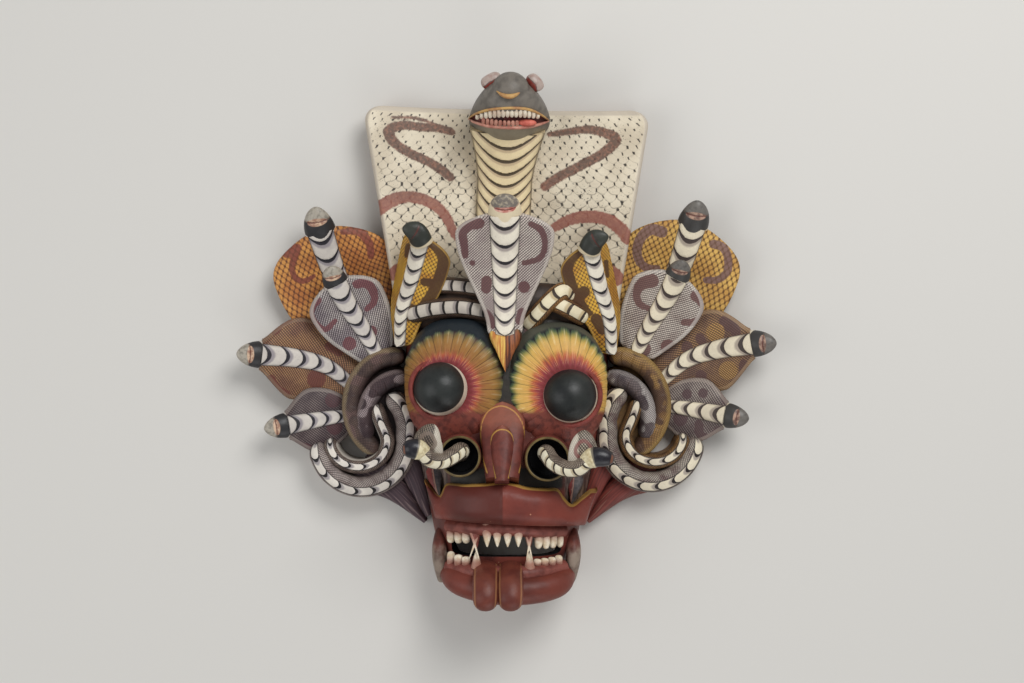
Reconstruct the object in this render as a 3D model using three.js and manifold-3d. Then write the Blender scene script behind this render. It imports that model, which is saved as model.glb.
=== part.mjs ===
// Naga raksha mask: a demon face under a tall cobra crest, with a fan of cobras on each side,
// carved in light wood and painted. It lies on its back, face up.
// Millimetres: +X is the viewer's right, +Y runs up the face to the crest, +Z points out of the face.
// The flat back rests on z = 0 and the origin is under the middle of the whole outline.
import * as THREE from "three";
import { LoftGeometry } from "three/addons/geometries/LoftGeometry.js";
import { mergeVertices } from "three/addons/utils/BufferGeometryUtils.js";
import Module from "manifold-3d";

const wasm = await Module();
wasm.setup();

// Driving dimensions.
const GAP = 0.4;
const WALL = 14;
const FACE_TOP = 22;
const FACE_BOTTOM = -247;
const FACE_HALF_WIDTH = 104;
const FACE_DEPTH = 82;
const BROW_RADII = [53, 64, 46];
const BROW_LEFT = [-57, -42];
const BROW_RIGHT = [55, -46];
const EYE_RADIUS = 27;
const EYE_HEIGHT = 83;
const EYE_LEFT = [-64.5, -46.5];
const EYE_RIGHT = [62.5, -53.5];
const NOSE_X = -5;
const NOSTRIL_LEFT = { x: -44, y: -113, radius: 20 };
const NOSTRIL_RIGHT = { x: 40, y: -115, radius: 21.5 };
const LIP_HALF_WIDTH = 82;
const LIP_TOP = -140;
const LIP_BOTTOM = -180;
const NOTCH_X = 67;
const MOUTH_HALF_WIDTH = 55;
const MOUTH_TOP = -188;
const MOUTH_BOTTOM = -214;
const CREST_BOTTOM = 20;
const CREST_TOP = 233;
const CREST_HALF_WIDTH = 142;
const CREST_THICKNESS = 20;
const CREST_FLARE = 0.165;
const CREST_CORNER = 16;
const CREST_LEAN = -0.02;
const NECK_HALF_WIDTH = 29;
const HOOD_THICKNESS = 14;
const KNOT_CENTRE = [147, -101];

const UP = [0, 0, 1];

function vec(p) {
  return new THREE.Vector3(p[0], p[1], p[2]);
}

// Joins equal vertices, drops collapsed triangles and hands the closed skin over as a solid.
function solid(geometry) {
  const bare = new THREE.BufferGeometry();
  bare.setAttribute("position", geometry.getAttribute("position"));
  bare.setIndex(geometry.getIndex());
  const merged = mergeVertices(bare, 1e-4);
  const index = merged.getIndex().array;
  const corners = [];
  for (let i = 0; i < index.length; i += 3) {
    const [a, b, c] = [index[i], index[i + 1], index[i + 2]];
    if (a !== b && b !== c && c !== a) corners.push(a, b, c);
  }
  const vertProperties = new Float32Array(merged.getAttribute("position").array);
  const triVerts = new Uint32Array(corners);
  return new wasm.Manifold(new wasm.Mesh({ numProp: 3, vertProperties, triVerts }));
}

function joined(solids) {
  return solids.reduce((whole, next) => whole.add(next));
}

function placed(geometry, x, y, z) {
  return solid(geometry.translate(x, y, z));
}

// Cuts away everything behind the given height.
function flatBacked(body, height) {
  return body.subtract(placed(new THREE.BoxGeometry(800, 800, 100), 0, 0, height - 50));
}

function piece(name, body, colour, roughness) {
  const mesh = body.getMesh();
  const geometry = new THREE.BufferGeometry();
  geometry.setAttribute("position", new THREE.Float32BufferAttribute(mesh.vertProperties, 3));
  geometry.setIndex(new THREE.Uint32BufferAttribute(mesh.triVerts, 1));
  geometry.computeVertexNormals();
  const material = new THREE.MeshStandardMaterial({ color: colour, roughness, metalness: 0 });
  const made = new THREE.Mesh(geometry, material);
  made.name = name;
  return made;
}

// A closed skin over equal rings of points; ring(t) gives the ring at share t of the length.
// A crowding above 1 sets the rings closer together towards the end.
function loft(rings, ring, crowding = 1) {
  const sections = Array.from({ length: rings + 1 }, (_, i) => ring(1 - (1 - i / rings) ** crowding));
  return solid(new LoftGeometry(sections, { capStart: true, capEnd: true }));
}

// Carries a section along a smooth path. section(t, centre) gives [across, out] pairs, anticlockwise;
// out is the direction of facing made square to the path.
function swept(path, facing, rings, section, crowding = 1) {
  const curve = new THREE.CatmullRomCurve3(path.map(vec));
  return loft(rings, (t) => {
    const centre = curve.getPoint(t);
    const along = curve.getTangent(t);
    const across = new THREE.Vector3().crossVectors(vec(facing), along).normalize();
    const out = new THREE.Vector3().crossVectors(along, across);
    const point = ([a, o]) => centre.clone().addScaledVector(across, a).addScaledVector(out, o);
    return section(t, centre).map(point);
  }, crowding);
}

function oval(halfAcross, halfOut, sides) {
  return Array.from({ length: sides }, (_, i) => {
    const turn = ((i + 0.5) / sides) * 2 * Math.PI;
    return [halfAcross * Math.cos(turn), halfOut * Math.sin(turn)];
  });
}

// Smooth bump, 1 at the middle and 0 beyond the reach.
function bump(x, middle, reach) {
  const d = Math.min(1, Math.abs(x - middle) / reach);
  return (1 - d * d) ** 2;
}

// A spread hood: two thin lobes bent forward by the cup angle, with the raised belly strip between them.
function hoodSection(lobe, belly, thick, raise, cup) {
  const half = thick / 2;
  const reach = Math.max(lobe, belly + 1);
  const bend = (s) => [s * Math.cos(cup), s * Math.sin(cup)];
  const [edgeA, edgeO] = bend(reach);
  return [
    [edgeA, edgeO - half * 0.4],
    [edgeA, edgeO + half * 0.4],
    [belly, half + belly * Math.sin(cup)],
    [belly * 0.7, half + raise],
    [-belly * 0.7, half + raise],
    [-belly, half + belly * Math.sin(cup)],
    [-edgeA, edgeO + half * 0.4],
    [-edgeA, edgeO - half * 0.4],
  ];
}

// Rounded snake head along a short path: swelling jaws, then a blunt snout.
function snakeHead(path, facing, halfWidth) {
  const jaw = (t) => 0.82 + 0.2 * Math.sin(Math.PI * Math.min(1, t * 1.6));
  const half = (t) => halfWidth * jaw(t) * Math.sqrt(1.12 - t ** 3);
  return swept(path, facing, 4, (t) => oval(half(t), half(t) * (0.74 - 0.12 * t), 6), 1.5);
}

// One cobra: the hood follows the path from root to neck, the head goes on from the neck.
function cobra(spec) {
  const { path, head, facing, lobe, peak, rootHalf, belly, thick, cup, headHalf, rings } = spec;
  const power = Math.log(0.5) / Math.log(peak);
  const base = (t) => rootHalf * (1 - t) + headHalf * 0.8 * t;
  const spread = (t) => base(t) + (lobe - base(peak)) * Math.sin(Math.PI * Math.min(1, t ** power)) ** 0.65;
  const strip = (t) => belly * (0.75 + 0.25 * t);
  const hood = swept(path, facing, rings, (t) => hoodSection(spread(t), strip(t), thick, 5, cup), 1.35);
  return hood.add(snakeHead(head, facing, headHalf));
}

// A coil of the knot: a rounded top with straight sides running down to the flat back.
function coil(path, radius, rings) {
  const top = [0, 55, 125, 180].map((degrees) => (degrees * Math.PI) / 180);
  return swept(path, UP, rings, (t, centre) => {
    const arc = top.map((turn) => [radius * Math.cos(turn), radius * 0.9 * Math.sin(turn)]);
    return [...arc, [-radius * 1.12, -centre.z], [radius * 1.12, -centre.z]];
  });
}

function arcPath(centre, radiusX, radiusY, fromDegrees, toDegrees, height, steps) {
  return Array.from({ length: steps + 1 }, (_, i) => {
    const turn = ((fromDegrees + ((toDegrees - fromDegrees) * i) / steps) * Math.PI) / 180;
    return [centre[0] + radiusX * Math.cos(turn), centre[1] + radiusY * Math.sin(turn), height];
  });
}

function mirrored(path, side) {
  return path.map(([x, y, z]) => [side * x, y, z]);
}

// Face block: rounded D-sections stacked down the face, widest at the eyes and narrower at the chin.
function faceShell(inset) {
  const stations = new THREE.CatmullRomCurve3([
    new THREE.Vector3(FACE_HALF_WIDTH - 8, FACE_TOP, FACE_DEPTH - 22),
    new THREE.Vector3(FACE_HALF_WIDTH, -12, FACE_DEPTH - 9),
    new THREE.Vector3(FACE_HALF_WIDTH - 4, -55, FACE_DEPTH - 2),
    new THREE.Vector3(FACE_HALF_WIDTH - 13, -108, FACE_DEPTH),
    new THREE.Vector3(FACE_HALF_WIDTH - 24, -162, FACE_DEPTH - 2),
    new THREE.Vector3(FACE_HALF_WIDTH - 34, -208, FACE_DEPTH - 8),
    new THREE.Vector3(FACE_HALF_WIDTH - 50, FACE_BOTTOM, FACE_DEPTH - 24),
  ]);
  const span = FACE_TOP - FACE_BOTTOM;
  const squeeze = (span - 2 * inset) / span;
  const middle = (FACE_TOP + FACE_BOTTOM) / 2;
  const floor = inset > 0 ? -5 : 0;
  return loft(8, (t) => {
    const station = stations.getPoint(t);
    const y = middle + (station.y - middle) * squeeze;
    const arc = Array.from({ length: 10 }, (_, i) => {
      const turn = (i / 9) * Math.PI;
      const x = Math.sign(Math.cos(turn)) * Math.abs(Math.cos(turn)) ** 0.78 * (station.x - inset);
      const z = Math.sin(turn) ** 0.78 * (station.z - inset);
      return new THREE.Vector3(x, y, z);
    });
    arc[0].z = floor;
    arc[9].z = floor;
    return arc;
  });
}

function browDome([x, y]) {
  const dome = new THREE.SphereGeometry(1, 12, 8).scale(...BROW_RADII);
  return placed(dome, x, y, BROW_RADII[2] - 2);
}

// Bulging eyeball inside a raised lid, turned about the line of sight.
function eye([x, y]) {
  const rim = EYE_RADIUS + 6;
  const lid = [[0, -23], [rim, -23], [rim, 1], [rim - 3, 6], [rim - 6.5, 3]];
  const ball = [70, 48, 24].map((degrees) => {
    const turn = (degrees * Math.PI) / 180;
    return [EYE_RADIUS * Math.sin(turn), EYE_RADIUS * Math.cos(turn)];
  });
  const profile = [...lid, ...ball, [0, EYE_RADIUS]].map(([r, z]) => new THREE.Vector2(r, z));
  return placed(new THREE.LatheGeometry(profile, 13).rotateX(Math.PI / 2), x, y, EYE_HEIGHT);
}

// Shield-shaped nose with a raised tongue down its middle.
function nose() {
  const shieldPath = [[NOSE_X, -62, 76], [NOSE_X, -92, 92], [NOSE_X, -134, 108]];
  const shield = swept(shieldPath, UP, 6, (t) => {
    const half = 10 + 13 * bump(t, 0.38, 0.75);
    return [[half, -26], [half, 2], [half * 0.6, 7], [-half * 0.6, 7], [-half, 2], [-half, -26]];
  });
  const ridgePath = [[NOSE_X, -84, 92], [NOSE_X, -108, 104], [NOSE_X, -136, 112]];
  const ridge = swept(ridgePath, UP, 4, (t) => {
    const half = 6 + 7 * Math.min(1, t * 2.2);
    return [[half, -20], [half, 4], [0, 12], [-half, 4], [-half, -20]];
  });
  return shield.add(ridge);
}

// Flaring nostril: a raised ring from z = 56 to 104 round a blind hole with its floor at z = 72.
function nostrilRing({ x, y, radius }) {
  const ring = new THREE.CylinderGeometry(radius, radius + 4, 48, 13).rotateX(Math.PI / 2);
  return placed(ring, x, y, 80);
}

function nostrilHole({ x, y, radius }) {
  const hole = new THREE.CylinderGeometry(radius - 3.5, radius - 5, 40, 11).rotateX(Math.PI / 2);
  return placed(hole, x, y, 92);
}

// Wide upper lip: full in the middle, notched near both corners, with the corners turned up and back.
function upperLip() {
  const half = [0, 0.28, 0.54, 0.7, 0.76, 0.82, 0.88, 1];
  const shares = [...half.slice(1).reverse().map((share) => -share), ...half];
  const sections = shares.map((share) => {
    const away = Math.abs(share);
    const x = share * LIP_HALF_WIDTH + 1;
    const top = LIP_TOP + 4 * away ** 4 - 14 * bump(Math.abs(x), NOTCH_X, 8);
    const bottom = LIP_BOTTOM - 2 * share + 32 * away ** 9;
    const front = 56 + 54 * (1 - away ** 2.6);
    const middle = (top + bottom) / 2;
    const back = Math.max(10, front - 40);
    const profile = [[top, back], [top, front - 14], [middle + 9, front - 3], [middle - 2, front],
      [middle - 12, front - 3], [bottom, front - 15], [bottom, back]];
    return profile.map(([y, z]) => new THREE.Vector3(x, y, z));
  });
  return solid(new LoftGeometry(sections, { capStart: true, capEnd: true }));
}

function lowerLip() {
  const path = [[-63, -214, 44], [-50, -228, 70], [0, -237, 84], [50, -229, 70], [64, -216, 44]];
  return swept(path, UP, 8, (t) => oval(7 + 11 * Math.sin(Math.PI * t) ** 0.6, 13, 6));
}

function tongueLobe(x) {
  const path = [[x, -222, 56], [x, -224, 84], [x, -232, 102], [x, -248, 109], [x, -261, 103]];
  return swept(path, [0, 0.7, 0.7], 6, (t) => oval(12.4 * Math.sqrt(1.3 - t ** 5), 9 - 2 * t, 7));
}

function cheekFlap(x) {
  const path = [[x * 0.98, -176, 46], [x * 1.04, -204, 52], [x * 0.94, -234, 44]];
  return swept(path, UP, 4, (t) => oval(5 + 5 * Math.sin(Math.PI * t), 14, 5));
}

// Four small pointed teeth, a long fang on each side of them, and blocks of molars above and below.
function teeth() {
  const spike = (x, y, radius, length) => {
    const cone = new THREE.ConeGeometry(radius, length, 5).rotateX(Math.PI);
    return placed(cone, x, y, 84);
  };
  const molars = (side, y, front) => {
    const path = mirrored([[56, y, front - 24], [44, y, front - 9], [28, y, front]], side);
    return swept(path, UP, 2, () => oval(7.5, 9, 5));
  };
  return joined([
    ...[-19, -9, 1, 11].map((x) => spike(x, -187, 4.6, 26)),
    ...[-30, 22].map((x) => spike(x, -193, 5.6, 38)),
    ...[-1, 1].flatMap((side) => [molars(side, -189, 82), molars(side, -216, 79)]),
  ]);
}

function mouthOpening() {
  const width = 2 * MOUTH_HALF_WIDTH;
  const height = MOUTH_TOP - MOUTH_BOTTOM;
  return placed(new THREE.BoxGeometry(width, height, 120), 0, (MOUTH_TOP + MOUTH_BOTTOM) / 2, 62);
}

// Coils lying across the brow between the three forehead cobras, on a low band.
function foreheadCoils() {
  const tube = (path, radius, rings) => swept(path, UP, rings, () => oval(radius, radius, 6));
  const bandPath = [[-96, 34, 44], [-50, 38, 48], [0, 38, 50], [50, 36, 48], [96, 30, 44]];
  const bandSection = [[24, -18], [24, 6], [12, 10], [-12, 10], [-24, 6], [-24, -18]];
  const band = swept(bandPath, UP, 4, () => bandSection);
  return joined([
    band,
    tube([[-84, 54, 54], [-52, 56, 60], [-18, 50, 58]], 8, 4),
    tube([[-94, 26, 54], [-56, 34, 62], [-12, 28, 60]], 10, 4),
    tube([[22, 18, 60], [42, 38, 68], [58, 52, 66], [70, 46, 58]], 8.5, 5),
    tube([[42, 40, 58], [58, 34, 64], [84, 22, 56]], 9, 4),
  ]);
}

// Small pointed petal between the brows.
function petal() {
  return swept([[-1, 12, 72], [-1, -8, 82], [-1, -30, 82]], UP, 3, (t) => {
    const half = 15 * (1 - 0.85 * t);
    return [[half, -14], [half, 0], [0, 7], [-half, 0], [-half, -14]];
  });
}

function centreCobra() {
  return cobra({
    path: [[-1.5, 4, 82], [-1.5, 40, 76], [-1.5, 82, 82], [-1.5, 120, 98]],
    head: [[-1.5, 114, 94], [-1.5, 132, 104], [-1.5, 140, 122]],
    facing: [0, -0.35, 1],
    lobe: 49, peak: 0.78, rootHalf: 18, belly: 14, thick: 12, cup: 0.16, headHalf: 17, rings: 6,
  });
}

// Yellow cobra beside the crest, turned outwards, its lobes swept back.
function yellowCobra(side, shiftX, shiftY) {
  const at = ([x, y, z]) => [side * (x + shiftX), y + shiftY, z];
  return cobra({
    path: [[106, -4, 46], [104, 30, 54], [94, 62, 64], [84, 98, 80]].map(at),
    head: [[83, 94, 78], [88, 108, 88], [106, 109, 96]].map(at),
    facing: [side * 0.5, 0, 0.86],
    lobe: 33, peak: 0.72, rootHalf: 10, belly: 8, thick: 10, cup: -0.45, headHalf: 12, rings: 6,
  });
}

// The face block is joined first, then hollowed and pierced, and the finer carving is set on it.
function faceMask() {
  const block = joined([
    faceShell(0), browDome(BROW_LEFT), browDome(BROW_RIGHT), upperLip(), lowerLip(),
    cheekFlap(-69), cheekFlap(67), nose(), petal(), nostrilRing(NOSTRIL_LEFT), nostrilRing(NOSTRIL_RIGHT),
  ]);
  const opened = block.subtract(faceShell(WALL)).subtract(mouthOpening());
  const features = joined([
    eye(EYE_LEFT), eye(EYE_RIGHT), tongueLobe(-20), tongueLobe(4), teeth(), foreheadCoils(),
    centreCobra(), yellowCobra(-1, 0, 0), yellowCobra(1, -2, -8),
  ]);
  const holes = nostrilHole(NOSTRIL_LEFT).add(nostrilHole(NOSTRIL_RIGHT));
  return opened.add(features).subtract(holes).subtract(crest(GAP));
}

// Crest plate: a tall spread hood with a flat back, side edges curling forward and rounded top corners.
function crestPlate(grow) {
  const rightCurl = [[0.5, 4], [0.86, 14], [0.97, 19], [1, 12]];
  const leftCurl = rightCurl.map(([share, lift]) => [-share, lift]).reverse();
  const curl = [...leftCurl, [0, 0], ...rightCurl];
  const foot = CREST_BOTTOM - grow;
  const shoulder = CREST_TOP - CREST_CORNER;
  const rounding = CREST_CORNER + grow;
  const straight = [0, 0.35, 0.7, 1].map((share) => foot + (shoulder - foot) * share);
  const corner = [25, 50, 70, 85].map((degrees) => shoulder + rounding * Math.sin((degrees * Math.PI) / 180));
  const sections = [...straight, ...corner].map((y) => {
    const rise = Math.max(0, (y - shoulder) / rounding);
    const drawnIn = CREST_CORNER * (1 - Math.sqrt(1 - rise * rise));
    const half = CREST_HALF_WIDTH - CREST_FLARE * (CREST_TOP - y) - drawnIn + grow;
    const at = (share, z) => new THREE.Vector3(share * half, y + CREST_LEAN * share * half, z);
    const front = CREST_THICKNESS - 8 * rise ** 2 + grow;
    const back = 4 * rise ** 2 - grow;
    return [...curl.map(([share, lift]) => at(share, front + lift)), at(0.92, back), at(-0.92, back)];
  });
  return solid(new LoftGeometry(sections, { capStart: true, capEnd: true }));
}

// The great cobra's neck, a raised strip widening under the head.
function crestNeck(grow) {
  const path = [[-4, CREST_BOTTOM - grow, 14], [-3, 110, 16], [-1, 160, 26], [2, 214, 54]];
  return swept(path, UP, 7, (t) => {
    const half = NECK_HALF_WIDTH + 12 * Math.max(0, (t - 0.7) / 0.3) + grow;
    const raise = 18 + grow;
    return [[half, -14], [half, 6], [half * 0.72, raise], [-half * 0.72, raise], [-half, 6], [-half, -14]];
  });
}

// Great cobra head: broad jaws with an open mouth, blunt snout and two stub eyes.
function crestHead() {
  const facing = [0, -0.6, 0.8];
  const skullPath = [[2, 202, 34], [4, 220, 58], [4, 238, 80], [4, 248, 100]];
  const skull = swept(skullPath, facing, 7, (t) => oval(42 - 20 * t ** 1.6, 22 - 4 * t, 10));
  const mouthPath = [[-44, 226, 72], [4, 218, 88], [52, 224, 72]];
  const mouth = swept(mouthPath, [0, -0.3, 1], 6, (t) => oval(1.5 + 8 * Math.sin(Math.PI * t), 16, 6));
  const stubs = [-1, 1].map((side) => {
    const path = [[4 + side * 10, 242, 84], [4 + side * 21, 254, 104]];
    return swept(path, facing, 2, () => oval(8, 8, 8));
  });
  return joined([skull, ...stubs]).subtract(mouth);
}

// The crest below its head; grown by the gap, it is the room that its neighbours leave for it.
function crest(grow) {
  return flatBacked(crestPlate(grow).add(crestNeck(grow)), -grow);
}

function wingCobra(side, spec) {
  const path = mirrored(spec.path, side);
  const head = mirrored(spec.head, side);
  return cobra({ ...spec, path, head, facing: UP, thick: HOOD_THICKNESS, rings: 6 });
}

// Pendant leaf hanging from the knot towards the chin.
function wingLeaf(side) {
  const path = mirrored([[134, -132, 12], [112, -154, 14], [84, -182, 12]], side);
  return swept(path, UP, 4, (t) => {
    const half = 20 * (1 - 0.86 * t);
    return [[half, -12], [half, 4], [0, 9], [-half, 4], [-half, -12]];
  });
}

// Knot of four coils beside the cheek on a low web; the two lower ones ring a small open loop.
function knot(side) {
  const inner = arcPath(KNOT_CENTRE, 25, 25, 175, 370, 30, 7);
  const outer = arcPath(KNOT_CENTRE, 47, 47, 172, 358, 26, 8);
  const disc = new THREE.CylinderGeometry(1, 1, 20, 10).rotateX(Math.PI / 2).scale(34, 48, 1);
  const web = placed(disc, side * 118, -72, 10);
  return joined([
    web,
    coil(mirrored(arcPath([112, -64], 50, 50, 100, -66, 32, 8), side), 9.5, 7),
    coil(mirrored(arcPath([107, -80], 39, 43, 100, -28, 34, 6), side), 8.5, 5),
    coil(mirrored([[133, -66, 36], [127, -80, 34], ...inner], side), 9.5, 8),
    coil(mirrored([[120, -54, 34], [108, -66, 32], [102, -84, 28], ...outer], side), 10.5, 10),
  ]);
}

// One side panel: four cobras fanned out from the knot.
function wing(side, neighbours) {
  const top = wingCobra(side, {
    path: [[132, -14, 8], [152, 22, 9], [174, 66, 14], [189, 110, 26]],
    head: [[187, 104, 24], [191, 122, 36], [194, 141, 48]],
    lobe: 59, peak: 0.75, rootHalf: 22, belly: 12, cup: 0.08, headHalf: 16,
  });
  const second = wingCobra(side, {
    path: [[130, -16, 24], [144, 10, 26], [160, 36, 32], [172, 57, 42]],
    head: [[170, 53, 40], [174, 64, 50], [177, 77, 66]],
    lobe: 38, peak: 0.66, rootHalf: 14, belly: 9, cup: 0.1, headHalf: 12.5,
  });
  const outer = wingCobra(side, {
    path: [[156, -44, 12], [184, -21, 14], [214, -12, 18], [250, -8, 28]],
    head: [[246, -8, 26], [260, -8, 36], [277, -7, 44]],
    lobe: 39, peak: 0.64, rootHalf: 14, belly: 9, cup: 0.08, headHalf: 14,
  });
  const lower = wingCobra(side, {
    path: [[158, -68, 14], [176, -70, 16], [198, -74, 20], [222, -79, 28]],
    head: [[218, -78, 26], [232, -80, 34], [248, -83, 40]],
    lobe: 31, peak: 0.62, rootHalf: 12, belly: 8, cup: 0.1, headHalf: 12.5,
  });
  const panel = joined([top, second, outer, lower, knot(side), wingLeaf(side)]);
  return flatBacked(panel, 0).subtract(neighbours);
}

// Small cobra plugged into a nostril, curling out sideways with its hood half spread.
function nostrilCobra(side, nostril, sag) {
  const lift = -0.4 * sag;
  const path = [[0, 0, 73], [2, 0, 100], [12, -5 - sag, 118], [28, -6 - sag, 128], [44, 2 + lift, 134]];
  const head = [[41, 1 + lift, 133], [48, 4 + lift, 137], [58, 3 + lift, 142]];
  const at = ([x, y, z]) => [nostril.x + side * x, nostril.y + y, z];
  const facing = [0, -0.6, 0.8];
  const body = swept(path.map(at), facing, 10, (t) => {
    const lobe = 8 + 12 * bump(t, 0.86, 0.26);
    return [[lobe, 1], [lobe, 4], [5, 6], [-5, 6], [-lobe, 4], [-lobe, 1], [-6, -6], [6, -6]];
  });
  return body.add(snakeHead(head.map(at), facing, 9.5));
}

const RED = 0x8f2f22;
const CREAM = 0xd8c9a0;
const OCHRE = 0x8a6a2c;
const BROWN = 0x6b5a3a;

const face = faceMask();
const crestWhole = crest(0).add(crestHead());
const faceRoom = piece("face_room", face, RED, 1).geometry.scale(1 + GAP / 70, 1 + GAP / 140, 1 + GAP / 50);
const neighbours = joined([faceShell(-GAP), face, solid(faceRoom), crest(GAP)]);

const mask = new THREE.Group();
mask.name = "naga_raksha_mask";
mask.add(piece("face_mask", face, RED, 0.55));
mask.add(piece("crest_cobra", crestWhole, CREAM, 0.6));
mask.add(piece("left_cobra_wing", wing(-1, neighbours), OCHRE, 0.6));
mask.add(piece("right_cobra_wing", wing(1, neighbours), OCHRE, 0.6));
mask.add(piece("left_nostril_cobra", nostrilCobra(-1, NOSTRIL_LEFT, 0), BROWN, 0.6));
mask.add(piece("right_nostril_cobra", nostrilCobra(1, NOSTRIL_RIGHT, 8), BROWN, 0.6));

export default mask;
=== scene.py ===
# Naga raksha mask: a demon face under a great cobra crest, with a fan of cobras on each side, carved in light
# wood and painted. It lies on its back, face up: +X right, +Y up to the crest, +Z out of the face.
import math

import bpy
import numpy as np
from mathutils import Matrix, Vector


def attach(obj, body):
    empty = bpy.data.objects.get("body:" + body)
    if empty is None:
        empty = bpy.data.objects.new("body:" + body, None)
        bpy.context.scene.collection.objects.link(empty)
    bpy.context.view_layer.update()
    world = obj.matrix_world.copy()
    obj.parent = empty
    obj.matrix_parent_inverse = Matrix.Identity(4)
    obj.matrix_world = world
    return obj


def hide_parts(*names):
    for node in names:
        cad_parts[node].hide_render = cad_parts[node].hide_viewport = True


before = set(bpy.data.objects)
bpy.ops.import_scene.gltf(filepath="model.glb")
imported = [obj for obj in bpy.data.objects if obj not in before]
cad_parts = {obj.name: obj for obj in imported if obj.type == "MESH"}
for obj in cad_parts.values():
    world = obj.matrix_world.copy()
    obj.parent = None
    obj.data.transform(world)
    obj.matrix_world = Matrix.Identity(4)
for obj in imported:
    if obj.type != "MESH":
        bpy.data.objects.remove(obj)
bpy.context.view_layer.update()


# Studio: a plain pale floor and soft lamps, with the camera straight above the mask. The picture is 1024 mm
# wide at the height of the brow, and the mask lies a little left of its middle.
MM = 0.001
BROW_HEIGHT = 60 * MM
VIEW_DISTANCE = 2000 * MM
VIEW_WIDTH = 1024 * MM
VIEW_X = 5.5 * MM
SENSOR = 36

camera = bpy.data.objects.new("camera", bpy.data.cameras.new("camera"))
camera.data.sensor_width = SENSOR
camera.data.lens = SENSOR * VIEW_DISTANCE / VIEW_WIDTH
camera.location = (VIEW_X, 0, BROW_HEIGHT + VIEW_DISTANCE)
bpy.context.scene.collection.objects.link(camera)
bpy.context.scene.camera = camera
bpy.context.scene.view_settings.view_transform = "Standard"


def pigment(red, green, blue):
    """The linear colour of a paint given by its 8-bit screen values."""
    screen = np.array([red, green, blue]) / 255
    linear = np.where(screen <= 0.04045, screen / 12.92, ((screen + 0.055) / 1.055) ** 2.4)
    return (*linear.tolist(), 1.0)


def lamp(name, place, size, power):
    """A square soft lamp at a place in metres, turned towards the mask."""
    light = bpy.data.lights.new(name, "AREA")
    light.size = size
    light.energy = power
    stand = bpy.data.objects.new(name, light)
    stand.location = place
    stand.rotation_mode = "QUATERNION"
    stand.rotation_quaternion = (-Vector(place)).to_track_quat("-Z", "Y")
    bpy.context.scene.collection.objects.link(stand)


lamp("key_lamp", (0.75, 1.15, 1.75), 1.1, 30)
lamp("fill_lamp", (-1.5, -0.3, 1.5), 1.4, 12)
lamp("low_lamp", (0.5, -1.7, 0.9), 1.2, 8)
world = bpy.data.worlds.new("studio")
world.use_nodes = True
world.node_tree.nodes["Background"].inputs["Color"].default_value = pigment(235, 238, 242)
world.node_tree.nodes["Background"].inputs["Strength"].default_value = 0.35
bpy.context.scene.world = world

FLOOR_HALF = 4
floor_mesh = bpy.data.meshes.new("floor")
floor_corners = [(-FLOOR_HALF, -FLOOR_HALF, -MM), (FLOOR_HALF, -FLOOR_HALF, -MM),
                 (FLOOR_HALF, FLOOR_HALF, -MM), (-FLOOR_HALF, FLOOR_HALF, -MM)]
floor_mesh.from_pydata(floor_corners, [], [(0, 1, 2, 3)])
floor = bpy.data.objects.new("floor", floor_mesh)
floor_paint = bpy.data.materials.new("pale_floor")
floor_paint.use_nodes = True
floor_paint.node_tree.nodes["Principled BSDF"].inputs["Base Color"].default_value = pigment(214, 211, 205)
floor_paint.node_tree.nodes["Principled BSDF"].inputs["Roughness"].default_value = 0.9
floor_mesh.materials.append(floor_paint)
bpy.context.scene.collection.objects.link(floor)


# Crest: one tall plank carved as a great cobra's spread hood, with the banded neck raised down its middle and
# the head standing out at the top. Cream paint with inked scales and brown bands; the back is bare wood.
CREST_BOTTOM = 20
CREST_TOP = 237
CREST_HALF_WIDTH = 146.5
CREST_THICKNESS = 20
CREST_FLARE = 0.165
CREST_CORNER = 19
CREST_LEAN = -0.02
CREST_CURL = 18.5
RIM_START = 0.97
NECK_HALF_WIDTH = 28
NECK_PITCH = 14.5
GAP = 0.4
NO_MARK = 50
UP = (0, 0, 1)
SHARP_EDGE = math.radians(42)
(CREST_FRONT, CREST_BACK, NECK_PLATES, HEAD_SKIN, OCHRE_LIP, IVORY, MOUTH_RED, PINK_LIP, STALK_EYE,
 PINK_TONGUE) = range(10)


def smooth_path(points, t):
    """Places and directions on a curve through the points. Between two points it is a cubic whose end slopes
    weigh the neighbouring chords by the root of their lengths; the ends run straight on."""
    p = np.asarray(points, float)
    p = np.vstack([2 * p[0] - p[1], p, 2 * p[-1] - p[-2]])
    s = np.clip(t, 0, 1) * (len(p) - 3)
    i = np.minimum(s.astype(int), len(p) - 4)
    w = (s - i)[:, None]
    a, b, c, d = p[i], p[i + 1], p[i + 2], p[i + 3]
    before, here, after = (np.linalg.norm(x, axis=1, keepdims=True) ** 0.5 for x in (b - a, c - b, d - c))
    leave = ((b - a) / before - (c - a) / (before + here) + (c - b) / here) * here
    arrive = ((c - b) / here - (d - b) / (here + after) + (d - c) / after) * here
    cubic = 2 * (b - c) + leave + arrive
    square = 3 * (c - b) - 2 * leave - arrive
    place = b + w * (leave + w * (square + w * cubic))
    slope = leave + w * (2 * square + 3 * w * cubic)
    return place, slope / np.linalg.norm(slope, axis=1, keepdims=True)


def path_length(points, t):
    """Length run along the path at each of the shares t."""
    place, _ = smooth_path(points, t)
    return np.concatenate([[0], np.cumsum(np.linalg.norm(np.diff(place, axis=0), axis=1))])


def carried(points, facing, t, across, out):
    """A section carried along a path: at each share t its points lie across and out from the curve, where out
    is the facing direction made square to the curve."""
    place, along = smooth_path(points, t)
    side = np.cross(facing, along)
    side /= np.linalg.norm(side, axis=1, keepdims=True)
    lift = np.cross(along, side)
    return place[:, None] + side[:, None] * across[..., None] + lift[:, None] * out[..., None]


def grid(*coordinates):
    """Points of a surface: coordinates by ring, by side or alike all over, spread over each other."""
    return np.stack(np.broadcast_arrays(*coordinates), axis=-1)


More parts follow.
